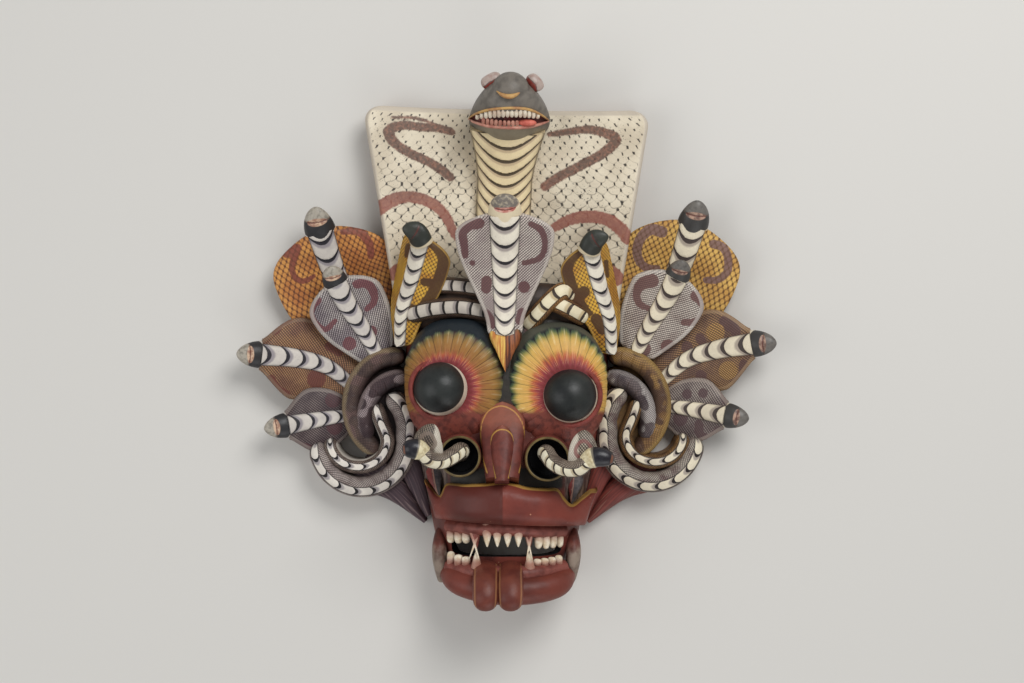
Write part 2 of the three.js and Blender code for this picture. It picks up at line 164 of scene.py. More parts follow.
def circle(sides):
    """Angles evenly round a circle."""
    return np.linspace(0, 2 * np.pi, sides, endpoint=False)


def skin(rings, slot, surface=(0, 0), plates=(0, 0), marks=(NO_MARK,) * 3):
    """A closed solid over rings of points: quads between neighbouring rings, each ring joined to itself, and
    a fan of triangles to the middle of each end ring. Slots, and the fields that paint reads, go with the
    faces."""
    count, sides = rings.shape[:2]
    points = np.vstack([rings.reshape(-1, 3), rings[[0, -1]].mean(axis=1)]) * MM
    ring, side = np.meshgrid(np.arange(count - 1) * sides, np.arange(sides), indexing="ij")
    turn = (side + 1) % sides
    quads = np.stack([ring + side, ring + turn, ring + sides + turn, ring + sides + side], axis=-1)
    first, last = count * sides, (count - 1) * sides
    start_fan = np.stack([np.full(sides, first), turn[0], side[0]], axis=-1)
    end_fan = np.stack([np.full(sides, first + 1), last + side[0], last + turn[0]], axis=-1)
    corners = np.concatenate([x.ravel() for x in (quads, start_fan, end_fan)])
    quad_count = quads.size // 4
    starts = np.concatenate([np.arange(quad_count) * 4, quad_count * 4 + np.arange(2 * sides) * 3])

    def at_corners(fields):
        """Fields on the rings, closed round each ring, at the corners of the quads and fans."""
        field = grid(*(np.broadcast_to(x, (count, sides)) for x in fields))
        field = np.concatenate([field, field[:, :1]], axis=1)
        middle = field[:, :-1].mean(axis=1, keepdims=True).repeat(sides, axis=1)
        quad = np.stack([field[:-1, :-1], field[:-1, 1:], field[1:, 1:], field[1:, :-1]], axis=2)
        start = np.stack([middle[0], field[0, 1:], field[0, :-1]], axis=1)
        end = np.stack([middle[-1], field[-1, :-1], field[-1, 1:]], axis=1)
        return np.concatenate([x.ravel() for x in (quad, start, end)]).astype(np.float32)

    mesh = bpy.data.meshes.new("skin")
    mesh.vertices.add(len(points))
    mesh.vertices.foreach_set("co", points.astype(np.float32).ravel())
    mesh.loops.add(len(corners))
    mesh.loops.foreach_set("vertex_index", corners.astype(np.int32))
    mesh.polygons.add(len(starts))
    mesh.polygons.foreach_set("loop_start", starts.astype(np.int32))
    slots = np.broadcast_to(slot, (count - 1, sides))
    slots = np.concatenate([slots.ravel(), slots[0], slots[-1]])
    mesh.polygons.foreach_set("material_index", slots.astype(np.int32))
    mesh.update(calc_edges=True)
    for name, fields in (("surface", surface), ("plates", plates)):
        layer = mesh.uv_layers.new(name=name)
        layer.data.foreach_set("uv", at_corners(fields))
    kept = mesh.attributes.new("marks", "FLOAT_VECTOR", "CORNER")
    kept.data.foreach_set("vector", at_corners(marks))
    return bpy.data.objects.new("skin", mesh)


def carved(name, body, steps, finishes):
    """One piece from closed skins: the body, from which each step joins on or cuts away its skins."""
    skins = [body]
    for action, group in steps:
        held = bpy.data.collections.new(f"{name}_{action}")
        for part in group:
            held.objects.link(part)
        cut = body.modifiers.new(action, "BOOLEAN")
        cut.operation = action
        cut.solver = "MANIFOLD"
        cut.operand_type = "COLLECTION"
        cut.collection = held
        skins += group
    for part in skins:
        for finish in finishes:
            part.data.materials.append(finish)
    bpy.context.scene.collection.objects.link(body)
    whole = body.evaluated_get(bpy.context.evaluated_depsgraph_get())
    mesh = bpy.data.meshes.new_from_object(whole)
    for part in skins:
        bpy.data.meshes.remove(part.data)
    mesh.name = name
    mesh.shade_smooth()
    mesh.set_sharp_from_angle(angle=SHARP_EDGE)
    piece = bpy.data.objects.new(name, mesh)
    bpy.context.scene.collection.objects.link(piece)
    return piece


def seen(points):
    """Plan of points as a viewer in front of the mask sees them, in millimetres at the height of the brow."""
    view = np.array([VIEW_X, 0]) / MM
    nearer = VIEW_DISTANCE / (BROW_HEIGHT + VIEW_DISTANCE - points[..., 2:] * MM)
    return view + (points[..., :2] - view) * nearer


def brushed(points, strokes):
    """Distance of points, seen from the front, to the edge of the nearest brush stroke, below zero inside it.
    A stroke is a smooth run through (x, y, half width); a single one is a round dab."""
    place = seen(points)
    nearest = np.full(place.shape[:-1], float(NO_MARK))
    for stroke in strokes:
        dabs = np.array(stroke, float).repeat(2 if len(stroke) == 1 else 1, axis=0)
        if len(stroke) > 1:
            dabs, _ = smooth_path(dabs, np.linspace(0, 1, 5 * len(stroke)))
        start, run = dabs[:-1], np.diff(dabs, axis=0)
        gap = place[..., None, :] - start[:, :2]
        length = np.maximum((run[:, :2] ** 2).sum(axis=-1), 1e-9)
        share = np.clip((gap * run[:, :2]).sum(axis=-1) / length, 0, 1)
        away = np.linalg.norm(gap - share[..., None] * run[:, :2], axis=-1)
        edge = away - start[:, 2] - share * run[:, 2]
        nearest = np.minimum(nearest, edge.min(axis=-1))
    return nearest


class Tint:
    """A socket in one material's nodes. Arithmetic on it adds Math nodes, and node() adds any other node."""

    def __init__(self, tree, socket=None):
        self.tree = tree
        self.socket = socket

    def node(self, kind, settings=None, sockets=None, output=0):
        """Adds a node with its settings and the values or links of its sockets, and gives one of its
        outputs."""
        made = self.tree.nodes.new(kind)
        for key, value in (settings or {}).items():
            if key == "stops":
                while len(made.color_ramp.elements) < len(value):
                    made.color_ramp.elements.new(1)
                for stop, (position, colour) in zip(made.color_ramp.elements, value):
                    stop.position = position
                    stop.color = pigment(*colour)
            else:
                setattr(made, key, value)
        for key, value in (sockets or {}).items():
            if isinstance(value, Tint):
                self.tree.links.new(value.socket, made.inputs[key])
            else:
                made.inputs[key].default_value = value
        return Tint(self.tree, made.outputs[output])

    def math(self, operation, *values):
        return self.node("ShaderNodeMath", {"operation": operation}, dict(enumerate(values)))

    def pair(operation):
        """An operator that joins two values by one Math node."""
        return lambda self, other: self.math(operation, self, other)

    __add__ = __radd__ = pair("ADD")
    __sub__ = pair("SUBTRACT")
    __mul__ = __rmul__ = pair("MULTIPLY")
    __truediv__ = pair("DIVIDE")
    __pow__ = pair("POWER")
    most = pair("MAXIMUM")

    def __rsub__(self, other):
        return self.math("SUBTRACT", other, self)

    def __abs__(self):
        return self.math("ABSOLUTE", self)

    def fraction(self):
        return self.math("FRACT", self)

    def ease(self, low, high):
        """0 at low and 1 at high with a smooth rise between them; low above high makes it fall."""
        sockets = {"Value": self, "From Min": low, "From Max": high}
        return self.node("ShaderNodeMapRange", {"interpolation_type": "SMOOTHSTEP"}, sockets)

    def blend(self, under, over):
        """The colour under, covered by the colour over as far as this value says; plain colours are screen
        values."""
        under, over = (pigment(*x) if isinstance(x, tuple) else x for x in (under, over))
        return self.node("ShaderNodeMix", {"data_type": "RGBA"}, {0: self, 6: under, 7: over}, 2)

    def mottle(self, base, shade):
        """Cloudy noise as a colour that drifts from the base to its shade."""
        return self.ease(0.35, 0.7).blend(base, shade)

    def dim(self, amount):
        """This colour or vector times an amount."""
        return self.node("ShaderNodeVectorMath", {"operation": "SCALE"}, {"Vector": self, "Scale": amount})

    def parts(self):
        """The three parts of a vector."""
        return [self.node("ShaderNodeSeparateXYZ", {}, {"Vector": self}, i) for i in range(3)]

    def joined(self, *parts):
        """A vector made of three parts."""
        return self.node("ShaderNodeCombineXYZ", {}, dict(enumerate(parts)))

    def stretched(self, *scale):
        """This place vector, scaled axis by axis."""
        return self.node("ShaderNodeMapping", {}, {"Vector": self, "Scale": scale})

    def noise(self, scale, detail=2.0):
        """Cloudy noise from 0 to 1 over this place vector; scale is in patches per unit."""
        return self.node("ShaderNodeTexNoise", {}, {"Vector": self, "Scale": scale, "Detail": detail})


def painted(name, recipe, coat=0.0):
    """A hand-painted finish. The recipe gets the place, the surface and plate coordinates and the marks, and
    gives the colour, the roughness and the height in millimetres; old varnish is uneven and a little grubby
    all over."""
    material = bpy.data.materials.new(name)
    material.use_nodes = True
    tree = material.node_tree
    shader = tree.nodes["Principled BSDF"]
    canvas = Tint(tree)
    metres = canvas.node("ShaderNodeTexCoord", output="Object")
    place = metres.dim(1 / MM)
    surface = canvas.node("ShaderNodeUVMap", {"uv_map": "surface"})
    plates = canvas.node("ShaderNodeUVMap", {"uv_map": "plates"})
    marks = canvas.node("ShaderNodeAttribute", {"attribute_name": "marks"}, output="Vector")
    colour, roughness, height = recipe(place, surface, plates, marks)
    grime = place.noise(0.03, 5.0).ease(0.45, 0.75) * 0.12
    speck = place.noise(0.55, 3.0)
    colour = grime.blend(colour, (58, 44, 34))
    colour = colour.dim(0.92 + speck * 0.16)
    height = height + speck * 0.1 + place.noise(0.1, 2.0) * 0.5
    links = {"Base Color": colour, "Roughness": roughness + (speck - 0.5) * 0.16,
             "Normal": canvas.node("ShaderNodeBump", {}, {"Height": height, "Strength": 1.0, "Distance": MM})}
    for key, value in links.items():
        tree.links.new(value.socket, shader.inputs[key])
    for key, value in (("Specular IOR Level", 0.3), ("Coat Weight", coat), ("Coat Roughness", 0.3)):
        shader.inputs[key].default_value = value
    return material


def fish_scales(column, row, depth=0.95):
    """Overlapping scales: each is the lower half of a circle hung under its row line, and every other row is
    moved by half a scale. Gives the distance from the outline in half widths, below zero inside, the depth
    under the row line and the distance from the seam between two scales of a row."""
    line = row.math("FLOOR", row)
    below = 1 - (row - line)
    across = ((column + (line * 0.5).fraction()).fraction() - 0.5) * 2
    return (across * across + (below / depth) ** 2) ** 0.5 - 1, below, 1 - abs(across)


CREAM = (232, 220, 196)
OLD_CREAM = (204, 190, 166)
PALE_EDGE = (200, 188, 170)
INK = (34, 29, 27)
BROWN_BAND = (94, 68, 58)
RED_BAND = (148, 88, 76)
TAN = (172, 116, 92)


def crest_cream(place, surface, plates, marks):
    """Cream ground with inked scales and brush-drawn bands; the rolled edge is left plain. Towards the top
    the scale outlines thin out and only the ticks between them are left."""
    column, row, _ = surface.parts()
    band, edge, fade = marks.parts()
    _, y, _ = place.parts()
    drift = [place.noise(0.07, 2.0) - 0.5, place.noise(0.09, 2.0) - 0.5]
    rim, below, seam = fish_scales(column + drift[0] * 0.9, row + drift[1])
    pressure = place.noise(0.11, 3.0)
    outline = abs(rim).ease(0.15, 0.03) * (pressure.ease(0.3, 0.6) * 0.75 + 0.15) * fade
    tick = (seam + below * 0.12).ease(0.25, 0.13) * below.ease(0.54, 0.38)
    tick = tick * place.noise(0.16, 1.0).ease(0.28, 0.4)
    freckle = place.noise(0.8, 1.0).ease(0.66, 0.72) * place.noise(0.06, 1.0).ease(0.42, 0.56)
    clear = edge.ease(2.0, 4.5)
    cream = place.noise(0.02, 3.0).ease(0.3, 0.7).blend(OLD_CREAM, CREAM)
    cream = edge.ease(3.5, 1.0).blend(cream, PALE_EDGE)
    brush = place.noise(0.35, 4.0)
    brown = y.ease(130.0, 175.0).blend(RED_BAND, BROWN_BAND)
    brown = (brush.ease(0.4, 0.7) * 0.5).blend(brown, TAN)
    banded = (band + (brush - 0.5) * 3.4).ease(0.9, -0.9)
    colour = (outline * clear * 0.66).blend(cream, (84, 72, 62))
    colour = (tick.most(freckle * 0.8) * clear * 0.92).blend(colour, INK)
    colour = (banded * 0.92).blend(colour, brown)
    return colour, 0.46 + pressure * 0.1, outline * -0.12 + banded * 0.1


def plate_bands(pale, shade, line, line_share=0.2):
    """Belly plates that overlap towards the tail: a pale plate, its grey tucked end as painted shade and the
    dark line under the next plate's lip, partly a painted shadow, which thins towards the sides, by the share
    of the plate."""
    def recipe(place, surface, plates, marks):
        count, g, _ = plates.parts()
        share = (count + (place.noise(0.2, 2.0) - 0.5) * 0.06).fraction()
        fleck = place.noise(0.8, 2.0)
        ground = (place.noise(0.05, 3.0).ease(0.4, 0.75) * 0.3).blend(pale, shade)
        ground = (fleck.ease(0.62, 0.72) * 0.3).blend(ground, shade)
        from_line = share - (1 - line_share) - g * g * (line_share * 0.45)
        # Painted shade: the tucked end of each plate greys towards the next plate's lip.
        colour = (from_line.ease(-0.26, -0.1) * 0.85).blend(ground, shade)
        # Dark line under the next plate's lip, partly a painted shadow of that lip.
        colour = from_line.ease(-0.02, 0.03).blend(colour, line)
        colour = (abs(g).ease(0.9, 0.98) * 0.75).blend(colour, line)
        return colour, 0.42 + fleck * 0.12, fleck * 0.05
    return recipe


def bare_wood(place, surface, plates, marks):
    """Unpainted pale hardwood gone brown with age: growth rings stretched along the face, and open pores."""
    rings = place.math("SINE", place.stretched(0.16, 0.012, 0.16).noise(1.0, 4.0) * 40) * 0.5 + 0.5
    pores = place.stretched(1.4, 0.08, 1.4).noise(1.0, 2.0)
    colour = (rings * 0.6).blend((146, 108, 70), (112, 78, 48))
    colour = (pores.ease(0.6, 0.72) * 0.7).blend(colour, (70, 46, 30))
    return colour, 0.72 + rings * 0.08, rings * 0.1 - pores.ease(0.6, 0.7) * 0.2


def scale_grid(points):
    """Scale coordinates on the crest: scales grow from 9.5 mm wide at the top edge to 14 mm at the foot, and
    the rows stand at 0.54 of that."""
    drop = np.linspace(0, 260, 521)
    width = 9.5 + 5.5 * (1 - np.exp(-drop / 130))
    rows = np.concatenate([[0], np.cumsum(0.5 / (0.54 * width[:-1]))])
    fall = CREST_TOP - points[..., 1]
    return points[..., 0] / np.interp(fall, drop, width), -np.interp(fall, drop, rows)


CREST_BANDS = [
    [(-54.5, 209.5, 3.6), (-69.5, 213.5, 4.2), (-85.5, 214.5, 4.4), (-105.5, 216, 4.6), (-117.5, 210.5, 5.6),
     (-113.5, 200.5, 5.2), (-98.5, 189.5, 4.8), (-79.5, 180.5, 4.6), (-65.5, 172, 4.6), (-56.5, 164.5, 4.4)],
    [(-115.5, 224, 1.2), (-92.5, 223.5, 1.8), (-77.5, 219.5, 1.6), (-69.5, 216.5, 1)],
    [(42.5, 207, 2.5), (62.5, 209.9, 3.6), (82.5, 211.9, 4.2), (100.3, 207.9, 5), (109.5, 202, 5.4),
     (97.5, 189.1, 5), (77.5, 177.5, 4.8), (52.5, 164.5, 4.8), (38, 155, 4.4)],
    [(-128.5, 132.5, 7.2), (-114.5, 141, 6.6), (-100.5, 144.7, 6), (-79.5, 140.5, 5.6), (-63.5, 129, 5.2),
     (-54.5, 112.5, 4.6), (-51, 104.5, 3.4)],
    [(46.5, 113, 4.4), (62.5, 121.5, 5.6), (82.5, 124.9, 6.2), (102.5, 121.1, 6.4), (115, 111.5, 6.6),
     (121, 103.5, 6.4)],
    [(-107.5, 71.5, 7), (-112.5, 67.5, 7)], [(104.5, 68.5, 8), (109.5, 63.5, 8)]]


def crest_plate(grow=0.0):
    """The spread hood: a section of the plank, up its front, over the rounded top and down its flat back,
    carried across. The front lifts with the 2.6th power of the distance from the middle and rolls over at the
    rim."""
    shoulder = CREST_TOP - CREST_CORNER
    rounding = CREST_CORNER + grow
    turn = np.radians(np.linspace(89, 4, 18))
    y = np.concatenate([shoulder + rounding * np.sin(turn), np.linspace(shoulder, CREST_BOTTOM - grow, 120)])
    back_y = np.linspace(CREST_BOTTOM - grow, CREST_TOP - 2 + grow, 16)
    up = np.concatenate([y, back_y])
    rise = np.clip((up - shoulder) / rounding, 0, 1)
    cut_corner = CREST_CORNER * (1 - np.sqrt(1 - rise ** 2))
    half = CREST_HALF_WIDTH - CREST_FLARE * (CREST_TOP - up) - cut_corner + grow
    roll = np.radians(np.linspace(0, 90, 8))[1:]
    rim = RIM_START + (1 - RIM_START) * np.sin(roll)
    columns = np.linspace(-RIM_START, RIM_START, 141)
    share = np.concatenate([-rim[::-1], columns, rim])[:, None]
    dip = np.concatenate([(1 - np.cos(roll))[::-1], 0 * columns, 1 - np.cos(roll)])[:, None]
    front = CREST_THICKNESS + grow - 9 * (1 - np.sqrt(1 - rise[:len(y)] ** 2))
    lift = CREST_CURL * np.minimum(np.abs(share), RIM_START) ** 2.6
    z = np.hstack([front + lift - 7 * dip, np.full((len(share), len(back_y)), -grow)])
    x = share * half
    rings = grid(x, up + CREST_LEAN * x, z)
    slots = np.where(np.arange(len(up)) < len(y), CREST_FRONT, CREST_BACK)
    inside = np.minimum(CREST_TOP - up - 3, (1 - np.abs(share)) * half - 1.5)
    fade = 0.15 + 0.75 * np.clip((CREST_TOP - up - 30) / 60, 0, 1)
    return skin(rings, slots, scale_grid(rings), marks=[brushed(rings, CREST_BANDS), inside, fade])


def plate_count(length, pitch, g, curve, square=0.6):
    """Plates counted from the tail: the length over the pitch, with each line set back towards the head by
    the curve times a bow of the distance g from the middle, squared off by a share of its fourth power."""
    steps = np.diff(length) / pitch[:-1]
    bow = (1 - square) * g ** 2 + square * g ** 4
    return np.concatenate([[0], np.cumsum(steps)])[:, None] - curve * bow / pitch[:, None]


def crest_neck(grow=0.0):
    """The neck: a rounded ridge with overlapping plates, each standing 1.4 mm proud at its tail end, widening
    where it turns out into the head."""
    points = [(-5, 20 - grow, 14), (-4, 110, 16), (-2, 160, 24), (1, 214, 50)]
    t = np.linspace(0, 1, 170)
    half = NECK_HALF_WIDTH + 10 * np.maximum(0, (t - 0.7) / 0.3) ** 1.5 + grow
    g = np.linspace(1, -1, 41)
    count = plate_count(path_length(points, t), np.full(len(t), NECK_PITCH), g, 24, 0)
    relief = 1.4 * (1 - count % 1)
    top = 7 + 11 * (1 - np.abs(g) ** 3.2) ** 0.6 + relief * np.minimum(1, 6 * (1 - np.abs(g))) + grow
    across = np.concatenate([half[:, None] * g, -half[:, None], half[:, None]], axis=1)
    out = np.concatenate([top, np.full((len(t), 2), -11 - grow)], axis=1)
    rings = carried(points, UP, t, across, out)
    field = [np.hstack([count, np.zeros((len(t), 2))]), np.append(g, [0, 0])]
    return skin(rings, NECK_PLATES, plates=field)


def rod(points, half, slot, facing=UP, flat=1.0, stations=40, sides=24):
    """A solid of oval section along a path: half width by share of the length, and flat times that in
    height."""
    t = np.linspace(0, 1, stations)
    angle = circle(sides)
    wide = np.maximum(half(t), 0.05)[:, None]
    rings = carried(points, facing, t, wide * np.cos(angle), flat * wide * np.sin(angle))
    surface = [path_length(points, t)[:, None], wide * (angle - np.pi / 2)]
    return skin(rings, slot, surface, marks=[t[:, None], np.cos(angle), np.sin(angle)])


def stands(points):
    """Places of points that are given by the plan a viewer in front sees and by their height."""
    p = np.asarray(points, float)
    view = np.array([VIEW_X, 0]) / MM
    nearer = VIEW_DISTANCE / (BROW_HEIGHT + VIEW_DISTANCE - p[:, 2:] * MM)
    return np.hstack([view + (p[:, :2] - view) / nearer, p[:, 2:]])


def ball(centre, radii, slot, stations=20, sides=28):
    """An oval ball: rings of latitude from pole to pole."""
    low = (np.linspace(-89, 89, stations) * np.pi / 180)[:, None]
    angle = circle(sides)
    unit = grid(np.cos(low) * np.cos(angle), np.cos(low) * np.sin(angle), np.sin(low))
    return skin(np.array(centre) + np.array(radii) * unit, slot)


def flat_paint(base, shade, roughness=0.42, streak=(0.12, 0.12, 0.12)):
    """One brushed colour: it drifts to its shade in long soft streaks, with fine brush marks in the film."""
    def recipe(place, surface, plates, marks):
        drift = place.stretched(*streak).noise(1.0, 4.0)
        fine = place.noise(0.6, 3.0)
        colour = (drift.ease(0.38, 0.68) * 0.75).blend(base, shade)
        colour = (fine.ease(0.6, 0.75) * 0.25).blend(colour, shade)
        return colour, roughness + drift * 0.12, drift * 0.25 + fine * 0.05
    return recipe


SKULL_SHOULDER = 40
SKULL_RISE = 64


def skull_outline(z):
    """The head's outline at each height: an oval that keeps its size up to the shoulder, then closes with the
    root of 1 less the 2.4th power of the rise while its middle moves up towards the snout. Gives the middle's
    y and the half width, and the reach above and below the middle."""
    rise = np.clip((np.asarray(z, float) - SKULL_SHOULDER) / SKULL_RISE, 0, 1)
    scale = np.sqrt(np.maximum(1 - rise ** 2.4, 1e-3))
    return 223 + 18 * rise ** 1.5, 41 * scale, 38 * scale, 28 * scale


def crest_skull():
    """The head: its outlines stacked by height, narrowing towards the snout."""
    z = np.concatenate([[22.0], SKULL_SHOULDER + SKULL_RISE * np.sin(np.radians(np.linspace(0, 89.5, 40)))])
    middle, wide, above, below = (x[:, None] for x in skull_outline(z))
    angle = circle(72)
    lift = np.sin(angle)
    taper = 1 - 0.2 * np.clip(lift, 0, 1) - 0.12 * np.sin(2 * angle) ** 2 * (lift < 0)
    x = 3 + wide * np.cos(angle) * taper
    y = middle + np.where(lift > 0, above, below) * lift
    return skin(grid(x, y, z[:, None]), HEAD_SKIN)


def on_skull(points, proud=0.0):
    """Places on the head of points given by the plan a viewer sees: the highest outline that still holds
    each."""
    plan = np.asarray(points, float)
    levels = np.linspace(SKULL_SHOULDER, SKULL_SHOULDER + SKULL_RISE, 300)
    middle, wide, above, below = (x[:, None] for x in skull_outline(levels))
    place = np.hstack([plan, np.full((len(plan), 1), 85.0)])
    for _ in range(4):
        x, y, _ = stands(place).T
        reach = np.where(y > middle, above, below)
        held = ((x - 3) / wide) ** 2 + ((y - middle) / reach) ** 2 <= 1
        place[:, 2] = np.where(held, levels[:, None], SKULL_SHOULDER).max(axis=0) + proud
    return stands(place)


def bowed(root, tip, rise):
    """Three points from a root to a tip, the middle one raised."""
    return [root, (np.array(root) + np.array(tip)) / 2 + np.array([0, 0, rise]), tip]


def blunt_tooth(points, half, slot, stations, sides):
    """A blunt tooth, its width nearly even and its end rounded."""
    return rod(points, lambda t: half * (1.01 - t ** 6) ** 0.5 * (0.85 + 0.15 * t), slot, UP, 0.75, stations,
               sides)


def crest_tooth(x, root, tip, inset, half, slot):
    """A tooth of the great cobra, from its root to its tip as a viewer sees them, set into the head."""
    return blunt_tooth(bowed(*on_skull([(x, root), (x, tip)], -inset), 0.8), half, slot, 18, 18)


upper_lip_line = on_skull([(-38, 223), (-30, 228), (-18, 231.5), (4, 233.5), (22, 232), (34, 227),
                           (42.5, 221)])
lower_lip_line = on_skull([(-38, 222.4), (-30, 218.6), (-18, 215.4), (4, 213.8), (22, 214.6), (34, 217.4),
                           (42.5, 220.4)])
crest_mouth = rod((upper_lip_line + lower_lip_line) / 2, lambda t: 0.8 + 8.2 * np.sin(np.pi * t) ** 0.8,
                  MOUTH_RED, (0, -0.5, 1), 0.75, 60, 28)
crest_lips = [rod(upper_lip_line, lambda t: 0.4 + 1.1 * np.sin(np.pi * t) ** 0.5, OCHRE_LIP, stations=60,
                  sides=16),
              rod(lower_lip_line, lambda t: 0.5 + 1.3 * np.sin(np.pi * t) ** 0.5, PINK_LIP, stations=60,
                  sides=16)]
crest_teeth = []
for x in np.arange(-29, 35, 4.3):
    high = 233.5 - 0.0062 * (x - 4) ** 2
    crest_teeth.append(crest_tooth(x, high, high - 9.4 + 0.0045 * (x - 4) ** 2, 1.8, 2.3, IVORY))
for x in np.arange(-23, 12, 4.2):
    low = 214 + 0.0045 * (x - 4) ** 2
    crest_teeth.append(crest_tooth(x, low, low + 7, 2.2, 2.1, PINK_LIP))
crest_tongue = ball(on_skull([(20, 218.6)], -3)[0], (10, 3.6, 4), PINK_TONGUE)
crest_snout = ball((4, 247, 88), (19, 19, 19), HEAD_SKIN, 28, 40)
crest_nostrils = rod(stands([(-10, 250.5, 102), (-4, 246.5, 105.4), (3, 245, 106.5), (9, 246.5, 105.6),
                             (14.5, 250, 102.5)]),
                     lambda t: 0.4 + 2.1 * np.sin(np.pi * t), OCHRE_LIP, stations=40, sides=14)


def crest_eye(points, radius):
    """A long bulging eye, even along its middle and rounded at both ends."""
    def half(t):
        past = np.maximum(0, np.abs(t - 0.5) - 0.2)
        return radius * np.sqrt(np.maximum(1.005 - past ** 2 / 0.09, 0.001))
    return rod(points, half, STALK_EYE, sides=28)


crest_eyes = [crest_eye([(-23, 253.5, 75), (-16, 258, 80), (-5, 263, 80)], 6.8),
              crest_eye([(31.5, 249.5, 77), (29, 255, 81), (21, 263, 81)], 7)]


def stalk_eye(place, surface, plates, marks):
    """A bulging eye: pinkish white above, red below, with a dark line between."""
    _, side, _ = marks.parts()
    smear = place.noise(0.25, 3.0)
    x, _, _ = place.parts()
    split = x.ease(3.0, 5.0) * side - x.ease(5.0, 3.0) * side + (smear - 0.5) * 0.3
    colour = split.ease(0.2, 0.34).blend((180, 162, 152), (140, 56, 46))
    colour = (split.ease(0.12, 0.2) * split.ease(0.34, 0.26) * 0.7).blend(colour, (60, 36, 34))
    colour = (smear.ease(0.45, 0.7) * 0.45).blend(colour, (150, 104, 94))
    return colour, 0.35 + smear * 0.1, smear * 0.1


WHITE_PLATE = (232, 223, 204)
PLATE_SHADE = (150, 138, 134)


def head_skin(place, surface, plates, marks):
    """Worn grey paint, paler on the jaw under the mouth."""
    _, y, _ = place.parts()
    colour, roughness, height = flat_paint((118, 111, 102), (90, 85, 79))(place, surface, plates, marks)
    return (y.ease(216.0, 211.0) * 0.6).blend(colour, (168, 156, 132)), roughness, height


crest_finishes = [painted(*row) for row in (
    ("crest_cream", crest_cream),
    ("bare_wood", bare_wood),
    ("neck_plates", plate_bands((240, 220, 176), (196, 172, 140), (92, 80, 64), 0.26)),
    ("grey_skin", head_skin),
    ("lip_ochre", flat_paint((198, 158, 98), (158, 104, 72))),
    ("ivory", flat_paint((238, 226, 204), (206, 178, 154), 0.32), 0.2),
    ("mouth_red", flat_paint((112, 40, 36), (70, 28, 28))),
    ("lip_pink", flat_paint((206, 150, 130), (160, 92, 80))),
    ("stalk_eye", stalk_eye, 0.2),
    ("tongue_pink", flat_paint((214, 116, 98), (180, 84, 72))))]
crest = carved("crest_cobra", crest_plate(), [
    ("UNION", [crest_neck(), crest_skull(), crest_snout]), ("DIFFERENCE", [crest_mouth]),
    ("UNION", [*crest_lips, *crest_teeth, crest_tongue, crest_nostrils, *crest_eyes])], crest_finishes)
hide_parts("crest_cobra")
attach(crest, "root")


# Face: a hollow half shell with bulging brows and eyes, a shield nose, flaring nostrils and an open mouth
# with fangs and a forked tongue, all carved from one block; three cobras and their coils stand on the
# forehead.
FACE_STATIONS = [(96, 22, 60), (104, -12, 73), (100, -55, 80), (91, -108, 82), (80, -162, 80), (70, -208, 74),
                 (54, -247, 58)]
FACE_MIDDLE = -112.5
FACE_LENGTH = 269
WALL = 14
MOUTH = (55, -214, -188)
BRICK = (126, 64, 53)
BRICK_SHADE = (92, 46, 40)
BLACK = (16, 15, 16)
GOLD = (186, 142, 70)
(FACE_RED, FACE_WOOD, BROW, EYELID, EYE, NOSE, NOSTRIL_RIM, HOLLOW, LIP, LOWER_LIP, GUM, TOOTH, TONGUE,
 CHEEK_FLAP, COIL_BED, GREY_COIL, CREAM_COIL, PETAL, LEAF, CENTRE_HOOD, BELLY, YELLOW_HOOD, CENTRE_HEAD,
 DARK_HEAD) = range(24)


def face_shell(inset=0.0, slot=FACE_RED):
    """The face as a half tube running down to the chin: each section is a squared oval, its width and depth
    times the cosine and sine raised to 0.78."""
    width, y, depth = smooth_path(FACE_STATIONS, np.linspace(0, 1, 90))[0].T
    y = FACE_MIDDLE + (y - FACE_MIDDLE) * (1 - 2 * inset / FACE_LENGTH)
    turn = np.linspace(0, np.pi, 101)
    x = (width - inset)[:, None] * np.sign(np.cos(turn)) * np.abs(np.cos(turn)) ** 0.78
    z = (depth - inset)[:, None] * np.abs(np.sin(turn)) ** 0.78
    under = np.linspace(-1, 1, 9)
    foot = -5.0 if inset else 0.0
    x = np.hstack([x, (width - inset)[:, None] * under])
    z = np.hstack([z, np.full((len(y), len(under)), foot)])
    return skin(grid(x, y[:, None], z), slot)


def turned(centre, profile, sides):
    """Rings of a turned solid: a profile of (radius, height) from the bottom up, swung round the vertical
    through the centre."""
    radius, height = np.array(profile, float).T[..., None]
    angle = circle(sides)
    return grid(radius * np.cos(angle), radius * np.sin(angle), height) + np.array(centre, float)


BROW_RISE = 40
BROW_BASE = 50
LID_REACH = 28
PETAL_ANGLE = 11.25
PETAL_SWELL = 1.1


